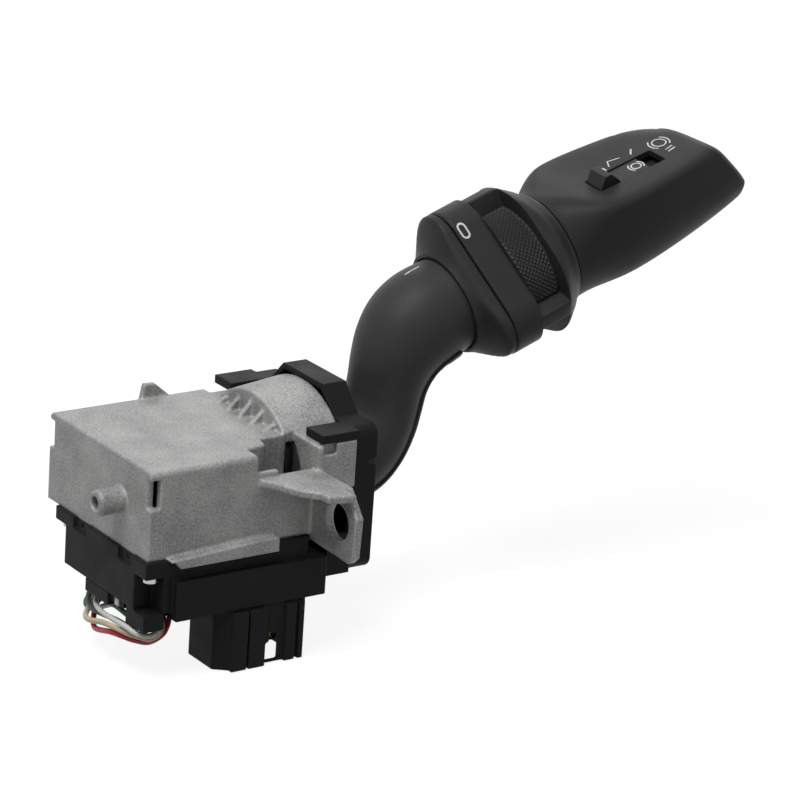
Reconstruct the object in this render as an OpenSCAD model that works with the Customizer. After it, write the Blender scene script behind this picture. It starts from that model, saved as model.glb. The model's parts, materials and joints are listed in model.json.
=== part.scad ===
// Combination stalk switch of a steering column. A die-cast housing holds a two-axis pivot,
// a sensor board and a cover with a plug socket. The bent stalk comes out through a bezel and
// carries a turning selector ring and a knob with a slide switch and a push button.
// The origin is the locating peg's axis where the peg leaves the housing's end face.
// X runs along the housing to the stalk, Y to the back, Z up.

/* [Housing] */
// Length of the housing box, from the peg's face to the step before the drum
box_l = 56; // [54:0.5:58]
// Width of the housing box, front to back
box_w = 62; // [60:0.5:64]
// Height of the housing's top face above the peg's axis
box_top = 14; // [13:0.5:15]
// Depth of the housing's open bottom edge below the peg's axis
box_drop = 15; // [14.5:0.25:15.5]
// Wall of the casting
cast_wall = 2.5; // [2:0.1:3]
// Corner radius of the casting's long top edges
cast_round = 1.6; // [1:0.1:2.4]
// Distance from the housing's front face to the peg's axis
peg_inset = 17.5; // [16.5:0.25:18]
// Diameter of the locating peg
peg_d = 8.5; // [8:0.1:10]
// Length of the locating peg
peg_l = 9.4; // [8:0.1:12]
// Bore in the locating peg
peg_bore_d = 4.5; // [3:0.1:5]
// Depth of the peg's bore
peg_bore_l = 8; // [5:0.5:9]
// Radius of the half-round drum where it meets the box
drum_r = 28; // [27.9:0.1:28.4]
// How much the drum's radius grows towards the bezel
drum_flare = 2; // [1:0.1:2.4]
// Length of the drum along the stalk, from the box to the bezel
drum_l = 19; // [18:0.25:20]
// Number of gusset ribs between the box's top and the drum
rib_count = 5; // [3:1:6]
// Thickness of one gusset rib
rib_t = 1.8; // [1.2:0.1:2.4]
// Spacing of the gusset ribs
rib_pitch = 7.1; // [6:0.1:7.6]

/* [Fixing lug] */
// Diameter of the hole in the fixing lug
lug_hole_d = 12; // [8:0.1:13]
// Thickness of the fixing lug
lug_t = 2.8; // [2:0.1:4]
// Distance of the hole's axis in front of the peg's axis
lug_reach = 32; // [31:0.25:34]
// Distance of the hole's axis below the peg's axis
lug_hole_drop = 6; // [4:0.25:7]

/* [Pivot] */
// Distance of the pivot's two axes beyond the end of the housing box
pivot_out = 10; // [9.8:0.1:10.4]
// Distance of the stalk's plane behind the peg's axis
pivot_y = 15.5; // [15:0.1:16]
// Distance of the pivot below the peg's axis
pivot_drop = 6; // [5.7:0.1:6.2]
// Diameter of the pivot pins
pin_d = 5; // [4:0.1:5.6]
// Radius of the stalk's core inside the pivot
core_r = 9.5; // [8.8:0.1:9.8]
// Diameter of the detent plunger
plunger_d = 5; // [4:0.1:5.6]

/* [Cover and plug] */
// Wall of the plastic mouldings
shell_wall = 2; // [1.6:0.1:2.2]
// Height of the lower cover below the housing
cover_h = 17.3; // [16.5:0.1:18]
// Height of the plug socket below the cover
socket_h = 20; // [16:0.5:24]
// Length of the plug socket
socket_l = 32; // [30:0.5:33]
// Width of the plug socket
socket_w = 17; // [16:0.5:18]
// Number of contact pins in one row
pin_count = 8; // [4:1:8]
// Spacing of the contact pins
pin_pitch = 3; // [2.5:0.1:3.2]
// Thickness of the circuit board
board_t = 1.6; // [1:0.1:2]
// Diameter of one lead
lead_d = 1.8; // [1.4:0.1:1.8]

/* [Bezel] */
// Thickness of the bezel along the stalk
bezel_t = 9; // [8:0.25:9.5]
// Radius of the bezel's round opening
bezel_hole_r = 18.6; // [18.3:0.1:19]
// Outer radius of the dust cap behind the opening
cap_r = 22; // [21.8:0.1:22.2]

/* [Stalk] */
// Radius of the stalk at the bezel
stalk_r = 14.6; // [14.2:0.1:14.8]
// Wall of the stalk's tube
stalk_wall = 2.2; // [1.8:0.1:2.4]
// Upward tilt of the selector ring's axis
ring_tilt = 20; // [19:0.25:21]

/* [Selector ring] */
// Radius over the ring's three lobes
lobe_r = 29; // [27:0.25:31]
// Radius of the flat sides between the lobes on the lettered band
flat_r = 20.4; // [20:0.1:21]
// Length of the selector ring
ring_l = 33.2; // [32.8:0.1:33.4]
// Length of the fixed collar in front of the ring
collar_l = 7; // [6:0.25:8]
// Width of the ring's plain band
band_w = 10.4; // [9:0.1:11]
// Radius of the sleeve that the ring turns on
sleeve_r = 13.2; // [12.8:0.1:13.3]
// Depth of the grip pads below the ring's skin
pad_sink = 2.2; // [1.6:0.1:2.6]

/* [Knob] */
// Half the knob's width at its widest place
knob_half_w = 21.1; // [20.6:0.1:21.4]
// Wall of the knob's shell
knob_wall = 2.2; // [1.8:0.1:2.4]
// Roll of the knob's top face towards the front
knob_roll = 5.7; // [4:0.1:7]
// Length of the slide switch's recess
slot_l = 27.3; // [26:0.1:28]
// Width of the slide switch's recess
slot_w = 8.6; // [8:0.1:9.4]
// Travel of the slide switch
slide_travel = 6; // [4:0.1:6.4]
// Diameter of the push button
button_d = 12; // [10:0.1:13]
// Travel of the push button
button_travel = 1.8; // [1:0.1:2]

/* [Fits] */
// Radial clearance of turning and sliding fits
run_fit = 0.05; // [0.03:0.01:0.08]
// Clearance between parts that don't touch
gap = 0.3; // [0.25:0.01:0.35]

/* [Hidden] */
$fn = 48;
eps = 0.01;

front_y = -peg_inset;
back_y = box_w - peg_inset;
top_z = box_top;
rim_z = -box_drop;
drum_x = box_l + drum_l;
drum_bore_r = drum_r - 2;
step_back = 4.6;
pivot_x = box_l + pivot_out;
pivot_z = -pivot_drop;
pin_r = pin_d / 2;

// Well at the front right of the box, with the web and the fixing lug below it
well_x0 = box_l - 17.5;
well_x1 = box_l + 4;
well_y1 = -4;
well_floor = -1;
web_z = 6.2;
web_t = 2.5;
lug_x = box_l + 3.2;

// Lower cover and the plug socket under it
cover_y0 = front_y - 1;
cover_y1 = back_y - 7;
cover_neck_y1 = cover_y1 - 6.4;
cover_x0 = -1;
cover_x1 = box_l + 2;
cover_flange = 4.5;
cover_z = rim_z - cover_h;
front_block_x0 = 9;
front_block_x1 = box_l + 8;
front_block_y0 = front_y - 3.5;
front_block_y1 = -3;
front_block_step_x = 22;
front_block_step_y = -12;
front_block_drop = 7;
front_block_z = cover_z - 2.7;
board_x0 = 2;
board_x1 = box_l;
board_y0 = front_y + 3.5;
board_y1 = cover_neck_y1 - shell_wall - 1;
board_top = rim_z - 8;
board_bottom = board_top - board_t;
socket_x0 = box_l - 31;
socket_y0 = front_y - 3;
row_y = [-9.2, -14.8];
row_x0 = socket_x0 + (socket_l - pin_pitch * (pin_count - 1)) / 2;
contact_w = 0.8;
socket_keys = [[4.3, 9.9], [10.6, 16.6]];
socket_key_h = 2;
socket_ridges = [[24.3, 28.1], [29.3, 31.2]];
socket_ridge_h = 1.2;

screw_r = 1.5;
screw_head_r = 2.4;
screw_head_h = 2;
corner_inset = 3;
notch_x = 5.7;
snap_y = [22, -5.5];
snap_w = 8;
snap_h = 3.8;
snap_depth = 1.1;
notch_y = front_y + 5.7;
screw_boss_r = 3;
cover_screw_at = [
    [corner_inset, front_y + corner_inset],
    [corner_inset, cover_y1 - corner_inset],
    [board_x1 - 2, cover_y1 - corner_inset]
];
board_screw_at = [[board_x0 + 4, board_y0 + 9], [board_x0 + 4, board_y1 - 3],
    [board_x1 - 4, board_y1 - 3], [board_x1 - 4, board_y0 + 15]];

// Bezel behind the stalk's opening
bezel_x0 = drum_x;
bezel_x1 = drum_x + bezel_t;
bezel_y0 = front_y + 1.5;
bezel_y1 = back_y + 2.5;
bezel_shoulder_z = top_z + 3;
bezel_bottom_z = cover_z + 0.8;
skirt_y1 = back_y - step_back + 2;
hood_top = drum_r + drum_flare + 1.6;
hood_half_top = 11.5;
hood_half_foot = 20.8;
bezel_screw_at = [for (p = [[159.2, drum_r + 3], [28.7, drum_r + 3.2], [-8.3, drum_r - 0.3]])
    [pivot_y + p[1] * cos(p[0]), pivot_z + p[1] * sin(p[0])]];

// Pivot: carrier, gimbal frame and core
carrier_x0 = pivot_x - 5;
carrier_x1 = pivot_x + 4;
carrier_r = drum_bore_r - 0.1;
frame_half_x = 6;
frame_y = 15.5;
frame_z = 15;
frame_bore_y = core_r + 2;
frame_bore_z = core_r + 1.5;
carrier_bore_y = frame_y + 2.5;
carrier_bore_z = frame_z + 1.5;
carrier_flat = 23.3;
yaw_pin_end = frame_z + 6;
root_x = pivot_x + 8.5;
spigot_r = stalk_r - stalk_wall - 0.2;
spigot_x1 = pivot_x + 18;
plunger_reach = 31;
tail_x = pivot_x - plunger_reach + 3;
tail_r = plunger_d / 2 + 4;
lead_bore_r = 4;
plunger_l = 10;
plunger_bore_l = 14;
cup_x0 = pivot_x - plunger_reach - 4;
cup_half = 9;
magnet_x = pivot_x - 20;

// Ring frame: x along the ring's axis, y to the back, z up and square to the axis
ring_out = 66.3;
ring_up = 49.1;
ring_at = [pivot_x + ring_out, pivot_y, pivot_z + ring_up];
groove = 0.4;
collar_a1 = 4;
ring_a0 = collar_a1 + groove;
ring_a1 = ring_a0 + ring_l;
pocket_a0 = ring_a0 + band_w;
pocket_a1 = pocket_a0 + 12.6;
rim_r = 28.4;
rim_flat_r = 24.4;
pocket_r = 20;
pocket_sweep = 102;
lobe_turn = 78;
pocket_turn = lobe_turn + 150;
sleeve_wall = 2.2;
ring_hollow_r = 17;
ring_hollow_a0 = ring_a0 + 4;
ring_hollow_a1 = ring_a1 - 4;
knob_a0 = ring_a1 + 0.8;

// Knob stations along the ring's axis: place, half width, top, widest height, bottom,
// squareness of the upper front, of the lower half and of the upper back, shift to the back
knob_stations = [
    [0, 19.4, 19.4, 0, 19.4, 2, 2, 2, 0],
    [2.5, 19.3, 19.5, 0, 19, 2.1, 2, 2.1, 0.1],
    [6, 19.8, 19.2, 1.5, 18.8, 2.8, 2.1, 2.8, 0.4],
    [11, knob_half_w - 0.7, 18.7, 3.5, 19, 4.5, 2.2, 4.5, 0.4],
    [17, knob_half_w - 0.1, 17.7, 5.5, 19.5, 8, 2.3, 8, 0],
    [25, knob_half_w, 17.1, 6, 19.3, 10, 2.4, 11, -0.8],
    [35, knob_half_w - 0.6, 16.7, 6, 18.3, 10, 2.4, 11, -1.4],
    [45, knob_half_w - 1.7, 16.3, 5.5, 17, 10, 2.4, 9, -1.4],
    [53, knob_half_w - 3, 15.9, 5, 15.9, 9, 2.4, 5, -1.2],
    [59.3, knob_half_w - 4.3, 15.5, 4.5, 15.2, 7, 2.3, 2.3, -0.9]
];
// Rounded far end: scale of the last section and how far it moves out
knob_end = [[0.985, 1], [0.93, 2.2], [0.82, 3.3], [0.62, 4.3], [0.34, 4.9], [0.08, 5.1]];
knob_sides = 40;
knob_slant = 0.56;
knob_slant_from = 28;
knob_slant_over = 31;
knob_slant_reach = 20;
knob_skew = 0.09;
knob_skew_y = -8;
slot_a = 57.2;
slot_y = -6;
slot_depth = 2;
slot_stem_w = 3.4;
thumb_l = 8.5;
thumb_h = 4;
slide_plate_l = slot_l - slide_travel - 2 * gap;
top_fall = 1.8;
top_ref_a = 70;
top_ref_h = 16.9;
button_a = 82;
button_h = 0;
button_r = button_d / 2;
button_face = 20.3;
button_back = 11.6;
button_stem_y = 10.4;
switch_y = 7.6;
hub_a1 = knob_a0 + 8;
plate_h = -6;
knob_screw_a = [62, 84];
seam_tilt = 5.5;
seam_h = 17.4;
hub_r = 16.6;
function bottom_at(a) = lookup(a - knob_a0, [for (s = knob_stations) [s[0], s[4]]]);
function board_seat(a) = top_ref_h - (a - top_ref_a) * tan(top_fall) - 4.3 - board_t - 0.1;

// Leads: hand-laid routes from the rear gland, under the plug block, to the front gland
gland_z = cover_z;
lead_start = 0.05;
lead_straight = 1.2;
gland_a = [7.5, 19.5, 17.8, 28.6];
gland_b = [7.3, -8, 15.6, 0.5];
green_route = [[16, 27.2, gland_z], [15.2, 28.4, -37.5], [12.5, 30.8, -42.8], [8.8, 31.8, -46],
    [6.8, 29, -47.4], [7.4, 24, -46.6], [7.2, 17.5, -43.2], [5, 9, -39.6], [4, -1, -39.2],
    [4.8, -7.5, -40.6], [7.6, -9.5, -40], [9.9, -6.8, -37.8], [12.3, -2.8, -35.2],
    [12.5, -1, gland_z]];
black_route = [[13.2, 27.2, gland_z], [12.6, 27.8, -37.5], [9, 27.4, -40.2], [4.4, 24, -41.2],
    [1.5, 17.4, -42.8], [1.4, 10, -42.3], [1.7, 2, -41.4], [2, -5, -41.2], [3.6, -9.4, -42.5],
    [7.1, -11.3, -42.3], [11.4, -9.5, -39.9], [12.9, -6.3, -36.3], [12.6, -4.2, gland_z]];
white_route = [[9, 21, gland_z], [8.4, 21.4, -36], [5.8, 20.2, -39.4], [2, 15.6, -40.4],
    [-0.4, 8, -40.3], [-0.8, 0, -39.9], [-0.7, -7, -39.6], [0.5, -12.5, -40.3], [4, -15, -40.6],
    [7.8, -13.6, -39], [8.8, -8.1, -36.4], [8.7, -6, gland_z]];
beige_route = [[11, 25, gland_z], [10.2, 25.2, -37.5], [6, 23.8, -43.4], [0.8, 19.4, -45.8],
    [-1.5, 13, -44.9], [-1.8, 5, -42.6], [-1.4, -2, -41.8], [-0.2, -7.6, -41.8], [1.6, -11, -42],
    [5.1, -13.4, -42.5], [9.3, -12.5, -40.2], [10.9, -8.2, -36.6], [11, -6.6, gland_z]];
red_route = [[13, 23, gland_z], [12.2, 22.8, -38], [9.2, 21, -41], [5, 19.6, -42.4],
    [2.2, 16.8, -46], [-0.2, 12, -47.2], [-1.6, 6, -45.7], [-1.6, 0, -44], [0, -5.6, -43.8],
    [2, -8.6, -44.2], [6, -11, -44.6], [11.4, -10.5, -42.6], [14.7, -8, -38.2],
    [14.2, -6.8, gland_z]];

// Stalk's centre line from the pivot, as distance out, height and radius
stalk_line = [
    [root_x - pivot_x, 0, stalk_r],
    [18.5, 0, stalk_r],
    [24, 0.4, stalk_r + 0.1],
    [30, 2.4, stalk_r - 0.1],
    [35, 6.6, stalk_r - 0.8],
    [38.6, 12, stalk_r - 1.6],
    [40.6, 18, stalk_r - 2],
    [41.8, 24, stalk_r - 1.8],
    [43.4, 30, stalk_r - 0.8],
    [45.8, 35.6, stalk_r + 0.5],
    [49.4, 40.6, stalk_r + 1.6],
    [54.2, 44.3, stalk_r + 2],
    [60.6, 47, stalk_r + 1.7],
    [ring_out, ring_up, stalk_r + 1.3]
];

// Plain shapes and frames
module box(a, b) {
    translate(a) cube(b - a);
}
module slab_x(x0, x1) {
    translate([x0, 0, 0]) rotate([90, 0, 90]) linear_extrude(x1 - x0) children();
}
module slab_y(y0, y1) {
    translate([0, y1, 0]) rotate([90, 0, 0]) linear_extrude(y1 - y0) children();
}
module rod_x(x0, x1, r) {
    translate([x0, 0, 0]) rotate([0, 90, 0]) cylinder(r = r, h = x1 - x0);
}
module rod_y(y0, y1, r) {
    translate([0, y0, 0]) rotate([-90, 0, 0]) cylinder(r = r, h = y1 - y0);
}
module rounded_rect(a, b, r) {
    translate([a[0] + r, a[1]]) square([b[0] - a[0] - 2 * r, b[1] - a[1]]);
    translate([a[0], a[1] + r]) square([b[0] - a[0], b[1] - a[1] - 2 * r]);
    for (x = [a[0] + r, b[0] - r], y = [a[1] + r, b[1] - r])
        translate([x, y]) circle(r);
}
module at_pivot() {
    translate([pivot_x, pivot_y, pivot_z]) children();
}
module at_ring() {
    translate(ring_at) rotate([0, -ring_tilt, 0]) children();
}
module at_knob() {
    at_ring() rotate([knob_roll, 0, 0]) children();
}
// Frame on the knob's top face: x along the face, z out of it
module at_top(a) {
    translate([a, 0, top_ref_h - (a - top_ref_a) * tan(top_fall)]) rotate([0, top_fall, 0]) children();
}

function unit(v) = v / norm(v);
function blend(p0, p1, p2, p3, t) = 0.5 * ((2 * p1) + (p2 - p0) * t + (2 * p0 - 5 * p1 + 4 * p2 - p3) * t * t
    + (3 * p1 - p0 - 3 * p2 + p3) * t * t * t);
function smooth(p, n) = [
    for (i = [0 : len(p) - 2], k = [0 : n - 1])
        blend(p[max(i - 1, 0)], p[i], p[i + 1], p[min(i + 2, len(p) - 1)], k / n),
    p[len(p) - 1]
];
function heading(p, i) = unit(p[min(i + 1, len(p) - 1)] - p[max(i - 1, 0)]);

// Solid through a list of rings with equal numbers of points; a closed skin joins the last ring
// to the first, an open one gets flat ends
module skin(rings, closed = false) {
    n = len(rings[0]);
    m = len(rings);
    last = closed ? m - 1 : m - 2;
    sides = [for (i = [0 : last], k = [0 : n - 1], t = [0, 1])
        let (j = (i + 1) % m, l = (k + 1) % n)
        t == 0 ? [i * n + k, j * n + k, j * n + l] : [i * n + k, j * n + l, i * n + l]];
    h = (m - 1) * n;
    caps = closed ? [] : [for (k = [0 : n / 2 - 2], t = [0 : 3])
        t == 0 ? [k, k + 1, n - 2 - k] : t == 1 ? [k, n - 2 - k, n - 1 - k]
        : t == 2 ? [h + k, h + n - 2 - k, h + k + 1] : [h + k, h + n - 1 - k, h + n - 2 - k]];
    polyhedron([for (r = rings) each r], concat(sides, caps));
}

// Ring of points round a lead's path
function lead_ring(p, i, r, n) =
    let (d = heading(p, i), s = unit(cross(d, [0.31, 0.2, 0.93])), u = cross(s, d))
    [for (k = [0 : n - 1]) p[i] + r * (cos(360 * k / n) * s + sin(360 * k / n) * u)];
// A route with its two ends led straight out of the glands
function laid(route) =
    let (n = len(route) - 1, start = route[0] - [0, 0, lead_start], end = route[n] - [0, 0, lead_start])
    concat([start, start - [0, 0, lead_straight]], [for (i = [1 : n - 1]) route[i]],
        [end - [0, 0, lead_straight], end]);
module lead(route) {
    p = smooth(laid(route), 3);
    skin([for (i = [0 : len(p) - 1]) lead_ring(p, i, lead_d / 2, 8)]);
}

// Arc of points round the stalk's centre line, from angle a0 to a1 about the line, 0 = underside
stalk_path = smooth(stalk_line, 3);
stalk_centre = [for (p = stalk_path) [pivot_x + p[0], pivot_y, pivot_z + p[1]]];
function stalk_arc(i, grow, a0, a1, n) =
    let (d = heading(stalk_centre, i), down = [d[2], 0, -d[0]], r = stalk_path[i][2] + grow)
    [for (k = [0 : n]) let (a = a0 + (a1 - a0) * k / n)
        stalk_centre[i] + r * (cos(a) * down + sin(a) * [0, 1, 0])];

// Rounded triangle with lobes at equal angles, as the collar and the ring have
function tri_lobe_d(out, flat) = (out - flat) * 2;
function tri_point(out, flat, a) =
    let (d = tri_lobe_d(out, flat), r = out - d, m = (a % 120 + 120) % 120, f = m > 60 ? m - 120 : m,
        edge = atan2(d * sin(60), flat), on_flat = abs(abs(f) - 60) < edge,
        rad = on_flat ? flat / cos(60 - abs(f)) : d * cos(f) + sqrt(r * r - pow(d * sin(f), 2)))
    rad * [cos(a), sin(a)];
module tri_section(out, flat) {
    rotate(lobe_turn) polygon([for (a = [0 : 5 : 355]) tri_point(out, flat, a)]);
}
module tri_slab(a0, a1, out, flat) {
    slab_x(a0, a1) tri_section(out, flat);
}
// Ring-shaped solid about the ring's axis, from its outline of [place, radius] points
module turned(outline) {
    rotate([0, 90, 0]) rotate_extrude() polygon([for (p = outline) [p[1], p[0]]]);
}
module tube_x(a0, a1, r_in, r_out) {
    difference() {
        rod_x(a0, a1, r_out);
        rod_x(a0 - 1, a1 + 1, r_in);
    }
}
module screw(head_r, head_h, shank_r, shank_l) {
    difference() {
        translate([0, 0, -head_h]) cylinder(r = head_r, h = head_h);
        translate([0, 0, -head_h - 1]) cylinder(r = head_r * 0.45, h = 1 + head_h * 0.6, $fn = 6);
    }
    translate([0, 0, -eps]) cylinder(r = shank_r, h = shank_l);
}

// Die-cast housing
module well_plan(grow) {
    polygon([[well_x0 - grow, front_y - 8], [well_x0 - grow, front_y + 7 + grow],
        [well_x0 + 7.5 - grow, front_y + 8.4 + grow], [well_x0 + 9 - grow, well_y1 + grow],
        [well_x1 + grow, well_y1 + grow], [well_x1 + grow, front_y - 8]]);
}
module web_plan() {
    polygon([[well_x0, front_y + 0.5], [well_x0 + 3.5, front_y - 4.5], [well_x0 + 7, front_y - 13],
        [well_x0 + 11.5, front_y - 17.5], [well_x0 + 12, front_y - 21.5], [lug_x - 3.2, front_y - 23.5],
        [lug_x + eps, front_y - 24], [lug_x + eps, front_y + 0.5]]);
}
module lug_plate() {
    lug_y = -lug_reach;
    lug_z = -lug_hole_drop;
    slab_x(lug_x, lug_x + lug_t)
        polygon([[front_y + 1, web_z], [lug_y - 3.4, web_z], [lug_y - 10.3, lug_z + 4.2],
            [lug_y - 9.5, lug_z - 9.1], [lug_y - 7, lug_z - 11.6], [lug_y + 3, lug_z - 11.2],
            [front_y + 1, lug_z - 11]]);
}
// Gusset rib at a distance from the drum's middle, as high as the drum is there
module gusset_rib(off) {
    top = pivot_z + sqrt(pow(drum_r, 2) - pow(abs(off) + rib_t / 2, 2));
    slab_y(pivot_y + off - rib_t / 2, pivot_y + off + rib_t / 2)
        polygon([[box_l - 5, top_z - 1], [box_l - 5, top_z], [box_l + 2.4, top],
            [box_l + 5, top], [box_l + 5, top_z - 1]]);
}
module back_fin() {
    slab_y(back_y - 2, back_y)
        polygon([[31.7, top_z - 1], [32.9, top_z + 4.9], [36.9, top_z + 4.7], [43.8, top_z - 1]]);
}
// Ledge along the front of the rim, with its lip over the lower cover
module front_ledge() {
    slab_y(front_y - 3.5, front_y + 1)
        polygon([[6.6, rim_z], [6.6, rim_z + 0.6], [38, rim_z + 2.3], [45.7, rim_z + 2.3], [45.7, rim_z]]);
    slab_y(front_y - 3.5, cover_y0 - 0.2)
        polygon([[10, rim_z - 2.5], [8, rim_z + eps], [45.7, rim_z + eps], [45.7, rim_z - 2.5]]);
}
module housing_outside() {
    slab_x(0, box_l) rounded_rect([front_y, rim_z], [back_y, top_z], cast_round);
    box([0, front_y, rim_z], [box_l, back_y, rim_z + 4]);
    box([box_l - 1, front_y, rim_z], [drum_x, back_y - step_back, top_z]);
    translate([box_l, pivot_y, pivot_z]) rotate([0, 90, 0])
        cylinder(r1 = drum_r, r2 = drum_r + drum_flare, h = drum_l);
    back_fin();
    for (i = [0 : rib_count - 1])
        gusset_rib((i - (rib_count - 1) / 2) * rib_pitch);
    for (p = bezel_screw_at)
        translate([0, p[0], p[1]]) rod_x(drum_x - 11, drum_x, screw_boss_r);
    rod_x(-peg_l + 1, 1, peg_d / 2);
    translate([-peg_l, 0, 0]) rotate([0, 90, 0]) cylinder(r1 = peg_d / 2 - 1, r2 = peg_d / 2, h = 1);
    front_ledge();
    translate([0, 0, web_z - web_t]) linear_extrude(web_t) web_plan();
    box([lug_x - 0.5, front_y - 1, top_z - 8], [lug_x + lug_t, front_y + 1, top_z]);
}
// Hollow of the casting; behind the lower cover a ledge closes its bottom
module housing_cavity() {
    box([cast_wall, front_y + cast_wall, rim_z + cast_wall],
        [box_l - cast_wall, back_y - cast_wall, top_z - cast_wall]);
    box([cast_wall, front_y + cast_wall, rim_z - 8],
        [box_l - cast_wall, cover_y1 - shell_wall, rim_z + cast_wall + 1]);
}
module housing() color("silver") difference() {
    union() {
        difference() {
            union() {
                housing_outside();
                lug_plate();
            }
            difference() {
                housing_cavity();
                translate([0, 0, well_floor - 2]) linear_extrude(30) well_plan(2);
            }
            translate([0, 0, well_floor]) linear_extrude(30) intersection() {
                well_plan(0);
                translate([0, front_y + 2]) square([90, 60]);
            }
            translate([0, 0, web_z]) linear_extrude(30) intersection() {
                well_plan(0);
                translate([well_x0 + 7.5, front_y - 9]) square([90, 60]);
            }
            translate([0, 0, web_z + 2]) linear_extrude(30) well_plan(0);
            translate([0, pivot_y, pivot_z]) rod_x(box_l + 1, drum_x + 1, drum_bore_r);
            translate([0, pivot_y, pivot_z]) rod_x(box_l - 8, box_l + 2, drum_bore_r - 9);
            box([box_l - 1, front_y + 3, rim_z - 30], [drum_x + 1, back_y + 10, rim_z]);
            box([box_l + 6, front_y + 3, rim_z - 1], [drum_x + 1, back_y - step_back - 3, pivot_z]);
            box([-1, front_y - 1, top_z - 12], [3.6, front_y + cast_wall + eps, top_z - cast_wall]);
            box([-1, back_y - cast_wall - eps, top_z - 11.5], [2.6, back_y + 1, top_z - cast_wall]);
            box([box_l + 6, front_y - 1, top_z - 3.5], [box_l + 11.5, front_y + 2, top_z + 1]);
            box([lug_x + lug_t, front_y - 1, rim_z - 1], [drum_x + 1, pivot_y - drum_r - 0.5, -1.7]);
        }
        for (p = cover_screw_at)
            translate([p[0], p[1], rim_z]) cylinder(r = screw_boss_r, h = 12);
        box([cup_x0, pivot_y - 5, top_z - cast_wall - 2],
            [cup_x0 + 12, pivot_y + 5, top_z - cast_wall + eps]);
    }
    translate([-peg_l - 1, 0, 0]) rotate([0, 90, 0]) cylinder(r = peg_bore_d / 2, h = peg_bore_l + 1);
    translate([lug_x - 1, -lug_reach, -lug_hole_drop]) rotate([0, 90, 0])
        cylinder(r = lug_hole_d / 2, h = lug_t + 2);
    for (p = cover_screw_at)
        translate([p[0], p[1], rim_z - 1]) cylinder(r = screw_r + run_fit, h = 10);
    for (p = bezel_screw_at)
        translate([0, p[0], p[1]]) rod_x(drum_x - 10, drum_x + 1, screw_r + run_fit);
}

// Bezel, lower cover and plug socket
module bezel_outline(inset) {
    rounded_rect([bezel_y0 + inset, bezel_bottom_z + inset], [bezel_y1 - inset, bezel_shoulder_z - inset], 4);
    foot = hood_half_foot - inset;
    top = hood_half_top - inset / 2;
    foot_z = bezel_shoulder_z - pivot_z - 1;
    translate([pivot_y, pivot_z])
        polygon([[-foot, 20], [-foot, foot_z], [-top, hood_top - inset], [top, hood_top - inset],
            [foot, foot_z], [foot, 20]]);
}
module bezel() color([0.11, 0.11, 0.12]) difference() {
    union() {
        difference() {
            slab_x(bezel_x0, bezel_x1) bezel_outline(0);
            difference() {
                slab_x(bezel_x0 - 1, bezel_x1 - shell_wall) bezel_outline(shell_wall);
                at_pivot() rod_x(bezel_x0 - pivot_x - 2, bezel_t + 20, cap_r + 2.5);
                for (p = bezel_screw_at)
                    translate([0, p[0], p[1]]) rod_x(bezel_x0 - 1, bezel_x1, screw_boss_r + 1);
            }
        }
        box([box_l + 6, front_y, top_z + 0.1], [bezel_x0 + 1, front_y + 10, bezel_shoulder_z]);
        box([box_l + 6, back_y - step_back - 3, top_z + 0.1], [bezel_x0 + 1, back_y + 2.5, bezel_shoulder_z]);
        box([bezel_x0 - 8, bezel_y0, bezel_bottom_z], [bezel_x0 + 1, bezel_y0 + shell_wall, rim_z - 3]);
        box([bezel_x0 - 8, bezel_y0, bezel_bottom_z], [bezel_x0 + 1, skirt_y1, bezel_bottom_z + shell_wall]);
        box([cover_x1 + 0.5, front_block_y1 + 1, bezel_bottom_z],
            [bezel_x0 + 1, skirt_y1, bezel_bottom_z + shell_wall]);
        box([cover_x1 + 0.5, skirt_y1 - shell_wall, bezel_bottom_z], [bezel_x0 + 1, skirt_y1, rim_z - 0.2]);
    }
    at_pivot() sphere(r = cap_r + gap);
    at_pivot() rod_x(0, 40, bezel_hole_r);
    at_pivot() translate([bezel_x1 - pivot_x - 1.6, 0, 0]) rotate([0, 90, 0])
        cylinder(r1 = bezel_hole_r - eps, r2 = bezel_hole_r + 1.6, h = 1.6 + eps);
    at_pivot() rod_x(-8, bezel_x0 - pivot_x, carrier_r);
    for (p = bezel_screw_at)
        translate([0, p[0], p[1]]) {
            rod_x(bezel_x0 - 2, bezel_x1 + 1, screw_r + 0.2);
            rod_x(bezel_x1 - screw_head_h - 1, bezel_x1 + 1, screw_head_r + 0.2);
        }
}
module front_block_plan(inset) {
    x0 = front_block_x0 + inset;
    x1 = front_block_x1 - inset;
    y0 = front_block_y0 + inset;
    y1 = front_block_y1 - inset;
    step = [front_block_step_x + inset, front_block_step_y - inset];
    polygon([[x0, y0], [x1, y0], [x1, y1], [step[0], y1], step, [x0, step[1]]]);
}
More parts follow.
